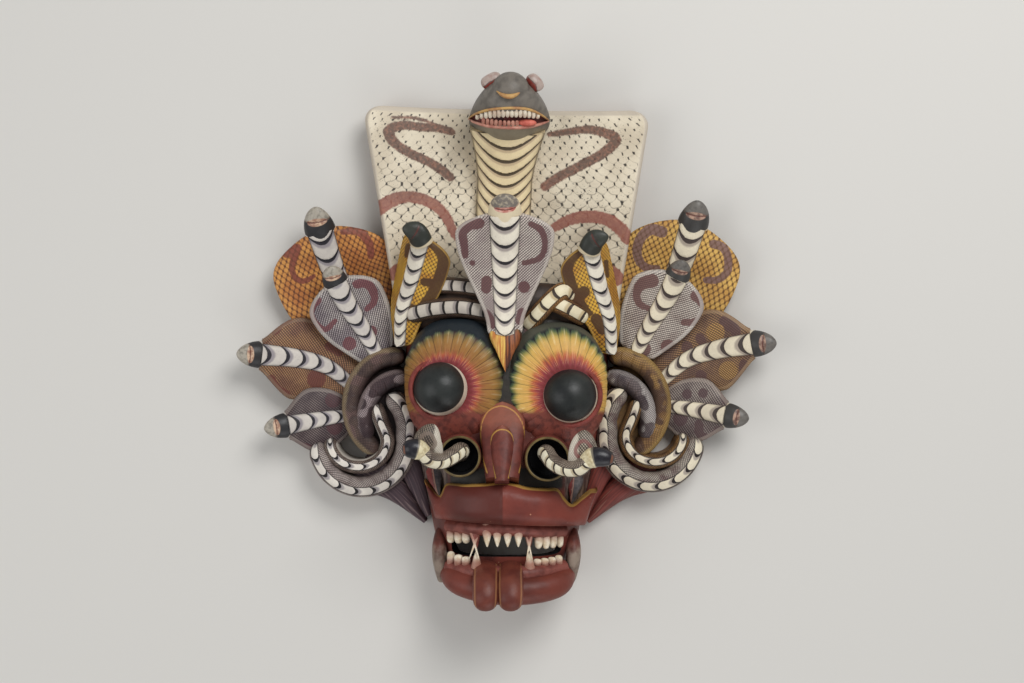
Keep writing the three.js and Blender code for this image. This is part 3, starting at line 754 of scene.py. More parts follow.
def brow(centre, radii, eye, rim_centre, rim_radii, dull):
    """A brow: a boxy oval dome whose painted petals swell 1 mm. Paint is laid by the share of the way from
    the eyelid to the oval where the border starts, along the ray from the eye, and by the angle of that
    ray."""
    low = np.radians(np.linspace(-20, 89.5, 44))[:, None]
    turn = circle(180)
    boxy = [np.sign(w) * np.abs(w) ** 0.84 for w in (np.cos(turn), np.sin(turn))]
    spread = np.cos(low) ** 0.45
    unit = grid(spread * boxy[0], spread * boxy[1], np.sin(low))
    dome = np.array([*centre, BROW_BASE]) + np.array([*radii, BROW_RISE]) * unit
    ray = seen(dome) - np.array(eye)
    start = (np.array(eye) - np.array(rim_centre)) / rim_radii
    step = ray / np.array(rim_radii)
    dot = (start * step).sum(axis=-1)
    square = (step ** 2).sum(axis=-1) + 1e-9
    reach = (-dot + np.sqrt(dot ** 2 + square * (1 - (start ** 2).sum()))) / square
    away = np.linalg.norm(ray, axis=-1)
    share = (away - LID_REACH) / np.maximum(away * reach - LID_REACH, 6)
    petal = np.arctan2(ray[..., 0], ray[..., 1]) / np.radians(PETAL_ANGLE)
    swell = np.abs(np.sin(np.pi * petal)) ** 0.5 * np.clip((share - 0.4) * 3, 0, 1)
    swell = swell * np.clip((1 - share) * 12, 0, 1)
    dome = dome + unit * (PETAL_SWELL * swell)[..., None]
    return skin(dome, BROW, [share, petal], marks=[dull, seen(dome)[..., 1], 0])


def brow_petals(place, surface, plates, marks):
    """Sun-ray brows: red strokes at the lid, then ochre, green petal tips and a blue-black border, cut by
    thin dark rays; below the eye the brow runs into the plain red of the cheek."""
    share, petal, _ = surface.parts()
    dull, below, _ = marks.parts()
    wobble = place.noise(0.16, 3.0) - 0.5
    stroke = petal.joined(petal * 3.8, share * 0.6, 0.0).noise(2.2, 3.0)
    fine = petal.joined(petal * 12, share * 1.2, 3.0).noise(1.0, 2.0)
    place_in_petal = (petal.fraction() - 0.5) * 2
    tip = share + place_in_petal * place_in_petal * 0.1 + (stroke - 0.5) * 0.2
    stops = [(0.0, (120, 44, 44)), (0.14, (146, 60, 64)), (0.28, (188, 96, 60)),
             (0.42, (204, 146, 68)), (0.68, (202, 160, 76)), (0.8, (140, 138, 76)),
             (0.88, (84, 100, 74)), (0.96, (32, 40, 46))]
    colour = tip.node("ShaderNodeValToRGB", {"stops": stops}, {"Fac": tip})
    pale = fine.ease(0.55, 0.66) * share.ease(0.02, 0.1) * share.ease(0.62, 0.3)
    colour = (pale * 0.7).blend(colour, (232, 176, 126))
    dark = fine.ease(0.45, 0.36) * share.ease(0.8, 0.4)
    colour = (dark * 0.6).blend(colour, (98, 38, 48))
    line = (1 - abs(place_in_petal)).ease(0.08, 0.02) * share.ease(0.22, 0.4) * share.ease(0.94, 0.86)
    colour = (line * 0.85).blend(colour, INK)
    spine = abs(place_in_petal + (stroke - 0.5) * 0.8).ease(0.2, 0.08)
    spine = spine * share.ease(0.5, 0.62) * share.ease(0.92, 0.82)
    colour = (spine * fine.ease(0.4, 0.55) * 0.55).blend(colour, (238, 222, 172))
    colour = (dull * share.ease(0.15, 0.35) * share.ease(0.95, 0.75) * 0.65).blend(colour, (118, 74, 44))
    fresh = 1 - dull
    colour = (fresh * share.ease(0.3, 0.45) * share.ease(0.85, 0.65) * 0.35).blend(colour, (240, 198, 112))
    colour = (fresh * share.ease(0.88, 0.98) * 0.5).blend(colour, (116, 114, 96))
    cheek = (below + wobble * 8).ease(-66.0, -74.0)
    colour = cheek.blend(colour, wobble.ease(-0.1, 0.2).blend(BRICK, BRICK_SHADE))
    return colour, 0.4 + stroke * 0.14, stroke * 0.12 - line * 0.3 - fine * 0.1


EYE_HEIGHT = 83
EYE_RADIUS = 27


def eye_ball(centre, pupil):
    """A bulging eye: a rolled lid round a ball; the pupil is a round patch of dark paint."""
    turn = np.radians(np.linspace(84, 0.5, 40))
    lid = [(33, -23), (33, -4), (32.6, 0), (31.6, 3.4), (30, 5), (28.4, 4.8), (27.4, 3)]
    profile = lid + [(EYE_RADIUS * math.sin(a), EYE_RADIUS * math.cos(a)) for a in turn]
    slots = np.where(np.arange(len(profile) - 1) < len(lid) - 1, EYELID, EYE)
    rings = turned((*centre, EYE_HEIGHT), profile, 60)
    return skin(rings, slots[:, None], marks=[brushed(rings, [[pupil]]), 0, 0])


def eye_dark(place, surface, plates, marks):
    """A slate-black eye with a chalk-white rim where the dark patch stops short."""
    patch, _, _ = marks.parts()
    cloud = place.noise(0.05, 3.0)
    colour = cloud.mottle((30, 32, 32), (44, 47, 45))
    chalk = cloud.ease(0.3, 0.7).blend((222, 210, 190), (188, 170, 150))
    colour = patch.ease(-0.3, 0.3).blend(colour, chalk)
    return colour, 0.34 + cloud * 0.16, cloud * 0.1


def ridge(points, half, out, base, slot, strokes=(), stations=80):
    """A carved ridge: half width by share of the length, a rounded top of the height out, and straight sides
    down to the base."""
    t = np.linspace(0, 1, stations)
    g = np.linspace(1, -1, 33)
    wide = np.maximum(half(t), 0.3)[:, None]
    top = out(t)[:, None] * (1 - np.abs(g) ** 2.6) ** 0.6
    across = np.hstack([wide * g, -wide, wide])
    up = np.hstack([top, np.full((stations, 2), float(base))])
    rings = carried(points, UP, t, across, up)
    return skin(rings, slot, [path_length(points, t)[:, None], across], marks=[brushed(rings, strokes), 0, 0])


def outlined(base, shade, line):
    """Brushed colour with painted outlines."""
    ground = flat_paint(base, shade)

    def recipe(place, surface, plates, marks):
        stroke, _, _ = marks.parts()
        colour, roughness, height = ground(place, surface, plates, marks)
        drawn = (stroke + (place.noise(0.3, 2.0) - 0.5) * 0.7).ease(0.35, -0.15)
        return drawn.blend(colour, line), roughness, height + drawn * 0.15
    return recipe


def nose_red(place, surface, plates, marks):
    """Brick red with gold outlines, with a painted highlight that lightens the crown of the nose and painted
    shade that keeps it darker lower down."""
    _, y, _ = place.parts()
    colour, roughness, height = outlined((112, 55, 46), (84, 41, 36), GOLD)(place, surface, plates, marks)
    # Painted highlight on the crown of the nose; below it the darker red stands as painted shade.
    wear_and_highlight = (y + place.noise(0.05, 2.0) * 12).ease(-88.0, -70.0)
    return (wear_and_highlight * 0.35).blend(colour, (188, 118, 92)), roughness, height


NOSE_OUTLINE = [(-19.5, -131.5), (-24.5, -113.5), (-26, -94.5), (-24, -79.5), (-17.5, -69), (-5.5, -64.5),
                (6.5, -69), (15, -79.5), (18.5, -94.5), (17, -113.5), (12.5, -131.5)]
BRIDGE_OUTLINE = [(-11, -136.5), (-15, -118.5), (-16.5, -104.5), (-14.5, -94.5), (-10, -89.5), (-4.5, -88),
                  (1.5, -89.5), (6, -94.5), (8, -104.5), (6, -118.5), (2, -136.5)]
nose_lines = [[(x, y, 0.6) for x, y in NOSE_OUTLINE]]
bridge_lines = [[(x, y, 0.55) for x, y in BRIDGE_OUTLINE]]


def arch(t, full, share, fall):
    """Half width of a rounded arch: a squared curve up to full at the share, then narrowing by fall."""
    up = (1 - (1 - np.minimum(t / share, 1)) ** 2.2) ** (1 / 2.2)
    return full * up - fall * np.maximum(0, (t - share) / (1 - share)) ** 1.3


nose = [ridge([(-4, -62, 78), (-4, -92, 93), (-4, -134, 106)], lambda t: arch(t, 22.5, 0.36, 6.5),
              lambda t: 6 + 2 * t, -26, NOSE, nose_lines),
        ridge([(-4.2, -85, 92), (-4.2, -108, 103), (-4.4, -137, 111)], lambda t: arch(t, 12.3, 0.3, 5.5),
              lambda t: 8 + 0 * t, -20, NOSE, bridge_lines)]

NOSTRILS = [(-45.5, -112.6, 20), (40, -115, 21.5)]


def nostril_ring(x, y, radius):
    """A nostril: a flaring tube with a rolled rim."""
    profile = [(radius + 3, 56), (radius + 1.6, 84), (radius + 0.8, 99), (radius + 0.4, 102),
               (radius - 0.2, 103.6), (radius - 1, 104.2), (radius - 1.8, 104), (radius - 2.6, 103)]
    # The innermost band of the rim takes the black hollow paint, which is painted shade.
    slots = np.array([FACE_RED] * 3 + [NOSTRIL_RIM] * 3 + [HOLLOW])
    return skin(turned((x, y, 0), profile, 56), slots[:, None])


def nostril_hole(x, y, radius):
    """The hollow of a nostril, narrowing a little inwards."""
    # The nostril's inside takes the black hollow paint, which is painted shade.
    return skin(turned((x, y, 0), [(radius - 4, 72), (radius - 2.6, 92), (radius - 1.8, 112)], 56), HOLLOW)


LIP_HALF_WIDTH = 84.4
LIP_TOP_LINE = [(-83.1, -138.5), (-75.5, -146.5), (-67, -154), (-63.5, -147.5), (-60.7, -143.1),
                (-40.5, -143.5), (-20.5, -142.5), (-1.5, -140.8), (22.5, -146.5), (39.5, -147.5),
                (51.3, -148.3), (57.5, -156), (65, -163.2), (74.5, -157.5), (84.5, -150)]


def upper_lip():
    """The upper lip: a broad roll bowed across the face. Its front falls off with the 2.6th power towards the
    corners and its top edge follows the notched outline."""
    share = np.linspace(-1, 1, 129)
    away = np.abs(share)
    x = LIP_HALF_WIDTH * share + 2.0 + 5 * np.maximum(share, 0) ** 2
    front = 56 + 54 * (1 - away ** 2.6)
    outline = [(*point, 96 - 36 * abs(point[0] / 84) ** 2.6) for point in LIP_TOP_LINE]
    edge = smooth_path(stands(outline), np.linspace(0, 1, 400))[0]
    top = np.interp(x, edge[:, 0], edge[:, 1])
    bottom = -180 - 4 * share + 36 * np.clip((away - 0.87) / 0.13, 0, 1)
    v = np.linspace(1, -1, 33)
    y = (top + bottom)[:, None] / 2 + v * (top - bottom)[:, None] / 2
    crease = np.exp(-((x[:, None] + 3.5) / 2.0) ** 2) * np.clip(v + 0.6, 0, 1)
    z = front[:, None] - 12 * np.abs(v) ** 3.4 + 1.2 * crease
    back = np.maximum(10, front - 40)[:, None]
    y = np.hstack([y, y[:, -1:], y[:, :1]])
    z = np.hstack([z, back, back])
    rings = grid(x[:, None], y, z)
    drop = top[:, None] - y
    steep = np.gradient(top, x)[:, None]
    return skin(rings, LIP, marks=[drop / np.sqrt(1 + steep ** 2), x[:, None], 0])


def lip_red(place, surface, plates, marks):
    """Brick-red lip with a gold line along the top edge; painted shade darkens its left half, short of the
    end, which stays paler.
    """
    drop, x, _ = marks.parts()
    cloud = place.noise(0.03, 3.0)
    colour = cloud.mottle((126, 60, 49), (106, 48, 41))
    # Painted shade over the left half of the lip, stopping short of its end.
    colour = (x.ease(-2.5, -4.5) * x.ease(-62.0, -48.0) * 0.85).blend(colour, (84, 40, 34))
    nick = place.noise(0.3, 1.0).ease(0.77, 0.79)
    colour = (nick * 0.8).blend(colour, (206, 150, 120))
    line = (drop + (cloud - 0.5) * 1.2).ease(2.0, 1.3)
    colour = line.blend(colour, cloud.ease(0.3, 0.7).blend(GOLD, (150, 116, 68)))
    return colour, 0.38 + cloud * 0.14, cloud * 0.4 + line * 0.25


def mouth_slot():
    """The open mouth: a squared oval cut through to the hollow."""
    half, low, high = MOUTH
    angle = circle(96)
    x = half * np.sign(np.cos(angle)) * np.abs(np.cos(angle)) ** 0.35
    y = (high - low) / 2 * np.sign(np.sin(angle)) * np.abs(np.sin(angle)) ** 0.35 + (high + low) / 2
    # The cut walls of the mouth take the black hollow paint, which is painted shade.
    return skin(grid(x, y, np.array([[2.0], [60.0], [122.0]])), HOLLOW)


def bulge(ends, middle):
    """Half width that swells from the ends to the middle, by the 0.6th power of a sine."""
    return lambda t: ends + (middle - ends) * np.sin(np.pi * t) ** 0.6


lower_lip = rod([(-60, -225, 40), (-48, -239, 66), (0, -247, 82), (50, -242, 68), (62, -228, 40)],
                bulge(8, 14), LOWER_LIP, flat=0.9, stations=90, sides=36)
gums = [
    rod([(-56, -184, 56), (-30, -185, 76), (0, -185, 82), (28, -187, 76), (55, -189, 56)], bulge(7.5, 7.5),
        GUM, flat=1.4, stations=60),
    rod([(-57, -226, 52), (-30, -229, 73), (0, -231, 79), (28, -230, 73), (57, -227, 52)], bulge(8.5, 8.5),
        GUM, flat=1.1, stations=60)]


def spike(root, tip, half, slot=TOOTH):
    """A fang: a cone that narrows with the 0.7th power of the length left."""
    return rod(bowed(*stands([root, tip]), 1.0), lambda t: half * (1.02 - t) ** 0.7, slot, UP, 0.8, 14, 14)


def tooth(x, high, low, half, height):
    """A blunt tooth of the face, from its root to its tip as a viewer sees them."""
    points = stands([(x, high, height - 3), (x, (high + low) / 2, height), (x, low, height - 1)])
    return blunt_tooth(points, half, TOOTH, 24, 20)


teeth = [spike((x, -184, 84), (x + lean, -205.5, 91), 6.2)
         for x, lean in ((-19.6, 0.3), (-9.3, 0.2), (1.2, 0), (12, -0.2))]
for left, right, foot in (((-36.5, -27.3), (-26.2, -37.5), (-30, -209)),
                          ((17.9, 26.1), (26, 19.9), (23, -211))):
    teeth += [spike((x, -187, 80), (end, -218, 88), 1.9) for x, end in (left, right)]
    teeth += [spike(((left[0] + right[0]) / 2, -186, 78), (foot[0], -207, 83), 6.2, GUM),
              spike((foot[0], -226, 79), (*foot, 84), 5.4)]
teeth += [tooth(x, -186, low, half, z) for x, low, half, z in (
    (-55.6, -201.5, 4.6, 63), (-48, -202, 4.6, 69), (-40.4, -202, 4.6, 74),
    (32, -207.4, 4.5, 76), (39.4, -207.6, 4.5, 73), (46.6, -206.8, 4.3, 68), (53.4, -206, 4, 62))]
teeth += [tooth(x, -223, high, half, z) for x, high, half, z in (
    (-55.5, -209.5, 4.5, 62), (-48, -212.8, 4.9, 69), (-40.5, -214.8, 4.7, 74),
    (30.8, -217.5, 4.5, 77), (38, -216.6, 4.5, 74), (45.2, -215.4, 4.5, 69), (52, -213.4, 4.5, 63))]
tongue = [rod([(x, -225, 58), (x, -230, 86), (x, -238, 103), (x, -252, 110), (x, -261.5, 104)],
              lambda t: 12.8 * (1.01 - t ** 9) ** 0.5, TONGUE, (0, 0.7, 0.7), 0.72, 60, 32)
          for x in (-20.4, 4)]
cheek_flaps = [rod(stands([(0.98 * x, -188, 38), (1.0 * x, -212, 50), (0.95 * x, -239, 44)]), bulge(4.5, 7.5),
                   CHEEK_FLAP, flat=1.3, stations=40)
               for x in (-67, 67)]


def tongue_red(place, surface, plates, marks):
    """Brick-red tongue with a thin gold line down each edge."""
    _, side, top = marks.parts()
    cloud = place.noise(0.05, 3.0)
    colour = cloud.mottle((116, 60, 46), (96, 46, 38))
    line = abs(abs(side) + (cloud - 0.5) * 0.1 - 0.82).ease(0.08, 0.03) * top.ease(0.0, 0.2)
    colour = (line * 0.45).blend(colour, (186, 136, 90))
    return colour, 0.38 + cloud * 0.12, cloud * 0.25


def tooth_ivory(place, surface, plates, marks):
    """Ivory teeth stained pinkish brown towards the gum."""
    t, _, _ = marks.parts()
    cloud = place.noise(0.2, 3.0)
    colour = cloud.mottle((240, 228, 204), (212, 190, 158))
    colour = (t.ease(0.75, 0.3) * 0.85).blend(colour, (164, 104, 90))
    return colour, 0.34 + cloud * 0.12, cloud * 0.1


def hatch(along, across, pitch, second):
    """Fine crossed lines at a pitch, 1 on a line; the second set is drawn more faintly."""
    first = abs(((along + across) / pitch).fraction() - 0.5).ease(0.34, 0.12)
    cross = abs(((along - across) / pitch).fraction() - 0.5).ease(0.34, 0.12)
    return first.most(cross * second)


def snake_coil(points, radius, pitch, slot, flat=0.85, stations=84, curve=4.0, side=1):
    """A snake's body: a round rod whose top carries overlapping plates, each 0.7 mm proud at its tail end."""
    t = np.linspace(0, 1, stations)
    angle = circle(36) - np.pi / 2
    g = np.cos(angle)
    length = path_length(points, t)
    count = plate_count(length, np.full(stations, float(pitch)), g, curve)
    relief = 0.7 * (1 - count % 1) * np.clip(np.sin(angle) * 2, 0, 1)
    taper = radius * (1 - 0.25 * np.exp(-t / 0.04) - 0.25 * np.exp(-(1 - t) / 0.04))[:, None]
    rings = carried(points, UP, t, taper * g, flat * taper * np.sin(angle) + relief)
    return skin(rings, slot, [length[:, None], radius * angle], [count, g], [side * g, np.sin(angle), 0])


def coil_paint(low, high, pale, shade, line, side, side_shade, lip=None):
    """A coil with a run of pale plates between two lines of its width, hatched flanks, and a chalky line
    along its inner side if a lip colour is given."""
    banded = plate_bands(pale, shade, line)

    def recipe(place, surface, plates, marks):
        across, top, _ = marks.parts()
        along, round_it, _ = surface.parts()
        colour, roughness, height = banded(place, surface, plates, marks)
        cloud = place.noise(0.1, 3.0)
        net = hatch(along, round_it, 2.8, 0.6) * top.ease(-0.5, 0.0)
        flank = (net * 0.8).blend(cloud.mottle(side, side_shade), INK)
        inside = across.ease(low - 0.02, low + 0.02) * across.ease(high + 0.02, high - 0.02)
        inside = inside * top.ease(-0.1, 0.0)
        border = across.ease(low - 0.12, low - 0.04) * across.ease(high + 0.12, high + 0.04) * (1 - inside)
        colour = inside.blend(flank, colour)
        colour = (border * 0.85).blend(colour, INK)
        if lip:
            colour = ((across + (cloud - 0.5) * 0.2).ease(0.8, 0.9) * 0.85).blend(colour, lip)
        return colour, roughness, height - net * (1 - inside) * 0.1
    return recipe


forehead = [
    rod([(-98, 33, 42), (-50, 38, 47), (0, 38, 50), (50, 36, 47), (98, 29, 42)], bulge(22, 22), COIL_BED,
        flat=0.5, stations=60, sides=28),
    snake_coil([(-90, 53, 54), (-70, 56, 58), (-44, 55, 60), (-14, 50, 58)], 8.4, 12.5, GREY_COIL),
    snake_coil([(-98, 27, 52), (-76, 32, 59), (-46, 34, 62), (-10, 28, 60)], 10, 13, GREY_COIL),
    snake_coil([(20, 15, 58), (32, 28, 65), (45, 42, 69), (56, 50, 67), (66, 46, 58)], 9, 15, CREAM_COIL),
    snake_coil([(38, 42, 57), (52, 37, 64), (66, 30, 62), (78, 23, 54)], 9, 14, CREAM_COIL)]


def leaf(points, half, tall, base, slot):
    """A pointed leaf with a keel: the half width runs out to nothing along its length."""
    return ridge(points, lambda t: half * (1 - t ** 1.4) * np.minimum(1, 0.75 + 2.5 * t),
                 lambda t: tall * (1.05 - t), base, slot, (), 60)


petal = leaf([(-1, 14, 82), (-1, -6, 89), (-1, -30, 86)], 17, 6, -16, PETAL)
notch_leaves = [leaf(stands([(-72.5, -126, 58), (-70.5, -140, 66), (-66.5, -156, 68)]), 9, 3, -16, LEAF),
                leaf(stands([(69, -134, 56), (67.5, -148, 64), (65, -164, 66)]), 9, 3, -16, LEAF)]


def petal_stripes(place, surface, plates, marks):
    """The petal between the brows: brown strokes on the left half, yellow-orange ones on the right."""
    along, across, _ = surface.parts()
    stroke = place.stretched(0.55, 0.03, 0.1).noise(1.0, 3.0)
    right = across.ease(0.4, -0.4)
    brown = stroke.ease(0.42, 0.58).blend((78, 44, 36), (156, 92, 54))
    yellow = stroke.ease(0.42, 0.58).blend((196, 124, 66), (226, 186, 96))
    colour = right.blend(brown, yellow)
    colour = (along.ease(8.0, 2.0) * 0.6).blend(colour, (86, 92, 60))
    return colour, 0.4 + stroke * 0.1, stroke * 0.3


def leaf_stripes(place, surface, plates, marks):
    """Dark leaves in the notches of the lip, with red edges and a pale streak."""
    _, across, _ = surface.parts()
    stroke = place.noise(0.3, 3.0)
    colour = stroke.mottle((62, 58, 60), (92, 84, 82))
    colour = ((across + (stroke - 0.5) * 2).ease(-2.0, -3.0) * 0.8).blend(colour, (128, 52, 46))
    colour = (abs(across + 1.5 + (stroke - 0.5) * 2).ease(0.9, 0.4) * 0.7).blend(colour, (178, 130, 112))
    return colour, 0.4 + stroke * 0.1, stroke * 0.2


def cobra(path, facing, lobe, peak, root, belly, thick, cup, head_half, pitch, slots, strokes, band=(0, 0),
          spots=(), waist=0.95, shoulder=(2.5, 0.92)):
    """A cobra's spread hood along a path. Its half width swells from the root to the lobe at the peak, by a
    sine raised to the waist, then draws in to the head by 1 less a power of the way on, raised to another
    power: the shoulder. The rim is a half round, cupped by an angle; up the middle runs a raised belly of
    curved plates, each 1 mm proud at its tail end."""
    t = np.linspace(0, 1, 112)
    length = path_length(path, t)
    neck = 0.96 * head_half
    base = root * (1 - t) + neck * t
    rise, fall = np.clip(t / peak, 0, 1), np.clip((t - peak) / (1 - peak), 0, 1)
    swell = np.where(t < peak, np.sin(np.pi / 2 * rise) ** waist, (1 - fall ** shoulder[0]) ** shoulder[1])
    start = np.sqrt(1 - (1 - np.clip(t / 0.06, 0.02, 1)) ** 2)
    reach = ((base + (lobe - root * (1 - peak) - neck * peak) * swell) * start)[:, None]
    strip = np.minimum((belly * (0.6 + 0.4 * t))[:, None], 0.88 * reach)
    half = thick / 2
    edge = 0.4 * half
    roll = np.radians(np.linspace(-90, 90, 7))
    f = np.linspace(0, 1, 14)[1:-1]
    g = np.linspace(1, -1, 23)
    rim_x, rim_z = reach * math.cos(cup), reach * math.sin(cup)
    foot = half + strip * math.sin(cup)
    lobe_x = rim_x + (strip - rim_x) * f
    lobe_z = rim_z + edge + (foot - rim_z - edge) * f + 0.03 * (reach - strip) * np.sin(np.pi * f)
    count = plate_count(length, pitch * (0.78 + 0.44 * t), g, 0.7 * belly, 0.2)
    crown = 3.6 * (1 - np.abs(g) ** 3.2) ** 0.6
    belly_z = foot + crown + (1 - count % 1) * np.minimum(1, 5 * (1 - np.abs(g)))
    right_x, right_z = rim_x + edge * np.cos(roll), rim_z + edge * np.sin(roll)
    back = np.linspace(-0.9, 0.9, 9)
    across = np.hstack([right_x, lobe_x, strip * g, -lobe_x[:, ::-1], -right_x[:, ::-1], rim_x * back])
    out = np.hstack([right_z, lobe_z, belly_z, lobe_z[:, ::-1], right_z[:, ::-1], rim_z - edge + 0 * back])
    rings = carried(path, facing, t, across, out)
    hood, under, behind = slots
    first = len(roll) + len(f)
    last = first + len(g)
    sides = across.shape[1]
    column = np.arange(sides)
    on_belly = (column >= first) & (column < last - 1)
    slot = np.where(on_belly, under, np.where(column < last + first - 1, hood, behind))
    plates = [np.pad(count, ((0, 0), (first, sides - last))), np.pad(g, (first, sides - last))]
    rim = reach - np.abs(across)
    lobe_side, width = band
    dark = np.maximum(rim - width, np.maximum(60 * (0.42 - t[:, None]), -lobe_side * across))
    stroke = np.minimum(brushed(rings, strokes), dark) if width else brushed(rings, strokes)
    return skin(rings, slot, [length[:, None], across], plates, [stroke, rim, brushed(rings, spots)])


def snake_head(path, half_width, facing, slot):
    """A snake's head: a blunt cone that closes with the 0.6th power of 1 less the 2.5th power of the length,
    with the mouth cut straight across the front in a shallow groove."""
    t = 1 - (1 - np.linspace(0, 1, 44)) ** 2
    angle = circle(36)
    half = half_width * (1.003 - t ** 2.5) ** 0.6
    front = np.clip(np.sin(angle), 0, 1) ** 0.5
    groove = 0.1 * np.exp(-((t[:, None] - 0.6) / 0.03) ** 2) * front
    across = half[:, None] * np.cos(angle) * (1 - groove)
    out = (half * (0.74 - 0.12 * t))[:, None] * np.sin(angle) * (1 - groove)
    return skin(carried(path, facing, t, across, out), slot, [t[:, None], angle],
                marks=[t[:, None], np.cos(angle), np.sin(angle)])


def snake_face(collar, lip, lip_shade, muzzle, throat):
    """A small cobra head: a dark bowed collar, a straight lens of a mouth with pale lips, and a worn
    snout."""
    def recipe(place, surface, plates, marks):
        t, side, front = marks.parts()
        cloud = place.noise(0.22, 3.0)
        bow = side * side * 0.14
        snout = (place.noise(0.3, 3.0).ease(0.45, 0.7) * 0.45).blend(muzzle, collar)
        colour = (t - bow).ease(0.03, 0.07).blend(throat, collar)
        colour = (t + cloud * 0.1).ease(0.62, 0.72).blend(colour, snout)
        lens = (1 - side * side * 1.5).most(0.0) ** 0.6 * 0.11 - abs(t - 0.6)
        lips = (lens + (cloud - 0.5) * 0.03).ease(-0.015, 0.015) * front.ease(0.0, 0.2)
        colour = lips.blend(colour, cloud.ease(0.35, 0.65).blend(lip, lip_shade))
        seam = abs(t - 0.6 + (place.noise(0.6, 2.0) - 0.5) * 0.05).ease(0.03, 0.01) * front.ease(0.2, 0.4)
        colour = (seam * lips * 0.8).blend(colour, (92, 48, 42))
        return colour, 0.36 + cloud * 0.12, cloud * 0.15
    return recipe


def hood_paint(ground, shade, ink, mark, net=0.0, edge=None, spot=None):
    """A painted hood: a ground colour, a net of small scales or a fine cross hatch, brushed marks, and a line
    along the rim."""
    def recipe(place, surface, plates, marks):
        along, across, _ = surface.parts()
        stroke, rim, dab = marks.parts()
        cloud = place.noise(0.05, 4.0)
        drift = (place.noise(0.12, 2.0) - 0.5) * 1.4
        if net:
            outline, below, seam = fish_scales((across + drift) / net, (along + drift) / (net * 0.7) * -1)
            tick = seam.ease(0.45, 0.25) * below.ease(0.7, 0.45)
            line = (abs(outline).ease(0.3, 0.1) * (0.35 + cloud * 0.5)).most(tick)
        else:
            line = hatch(along + drift, across, 3.0, 0.6)
        colour = cloud.ease(0.35, 0.68).blend(ground, shade)
        marked = (stroke + (place.noise(0.35, 3.0) - 0.5) * 2).ease(0.5, -0.5)
        colour = (marked * 0.9).blend(colour, mark)
        if spot:
            colour = ((dab + (cloud - 0.5) * 2).ease(0.6, -0.6) * 0.9).blend(colour, spot)
        colour = (line * (0.92 - marked * 0.3)).blend(colour, ink)
        if edge:
            colour = (rim.ease(2.0, 1.2) * 0.5).blend(colour, edge)
        return colour, 0.42 + cloud * 0.12, line * -0.12
    return recipe


CENTRE_MARKS = [
    [(-27.5, 118, 5.5), (-37.5, 117, 6), (-44, 109.5, 5.4), (-42.5, 98.5, 4), (-41.5, 86.5, 3.6)],
    [(-34, 78.5, 3)], [(-20, 60.5, 5.5), (-20.5, 52.5, 5)], [(-20, 27.5, 4.5), (-13.5, 17.5, 5)],
    [(15.5, 28.5, 5), (13.5, 21.5, 5)],
    [(24.5, 117.5, 3), (34.5, 111.5, 3.4), (38.5, 96.5, 3), (33.5, 83.5, 3), (17.5, 78.5, 2.6)],
    [(17.5, 54.5, 6)]]
YELLOW_LEFT_MARKS = [[(-76.5, 101.5, 4.4), (-68.5, 105, 4.4), (-60.5, 100.5, 4), (-57.5, 89.5, 4),
                      (-61.5, 76.5, 4), (-66.5, 66.5, 3.4)],
                     [(-82.5, 59.5, 4), (-74.5, 58.5, 4)], [(-100.5, 25.5, 6), (-94.5, 32.5, 5)],
                     [(-98.5, 95.5, 3), (-100.5, 85.5, 2)]]
YELLOW_RIGHT_MARKS = [[(66.5, 96.5, 3.4), (55.5, 91.5, 3.4), (52.5, 82.5, 3), (58.5, 70.5, 3)],
                      [(77.5, 49.5, 6), (71.5, 44.5, 5)], [(89.5, 22.5, 5.5), (95.5, 11.5, 5)],
                      [(99.5, 79.5, 2.4), (101, 65.5, 2)]]


def placed(points, side, shift=(0, 0, 0)):
    """Points drawn for the right side, mirrored for the left and moved by a shift."""
    return np.array(points, float) * (side, 1, 1) + shift


YELLOW_PATH = [(106, -4, 46), (104, 30, 54), (94, 64, 64), (84, 102, 82)]
YELLOW_HEAD = [(83.5, 98, 83), (88.5, 107.5, 91), (102, 112, 97)]
forehead_cobras = [
    cobra([(-1.5, 4, 82), (-1.5, 40, 76), (-1.5, 84, 82), (-1.5, 126, 99)], (0, -0.35, 1), 47, 0.85, 15, 15.5,
          12, 0.16, 17.5, 17, (CENTRE_HOOD, BELLY, CENTRE_HOOD), CENTRE_MARKS, waist=2.4),
    snake_head([(-1.5, 118, 95), (-1.5, 133, 107), (-2, 141.5, 121)], 17, (0, -0.35, 1), CENTRE_HEAD)]
for side, shift, strokes in ((-1, (0, 0, 0), YELLOW_LEFT_MARKS), (1, (-2, -8, 0), YELLOW_RIGHT_MARKS)):
    forehead_cobras += [
        cobra(placed(YELLOW_PATH, side, shift), (0.5 * side, 0, 0.86), 32, 0.84, 10, 10.5, 10, -0.45, 12,
              14.5, (YELLOW_HOOD, BELLY, YELLOW_HOOD), strokes, (side, 11), waist=1.2),
        snake_head(placed(YELLOW_HEAD, side, shift), 12.5, (0.5 * side, 0, 0.86), DARK_HEAD)]

MAROON = (96, 44, 46)


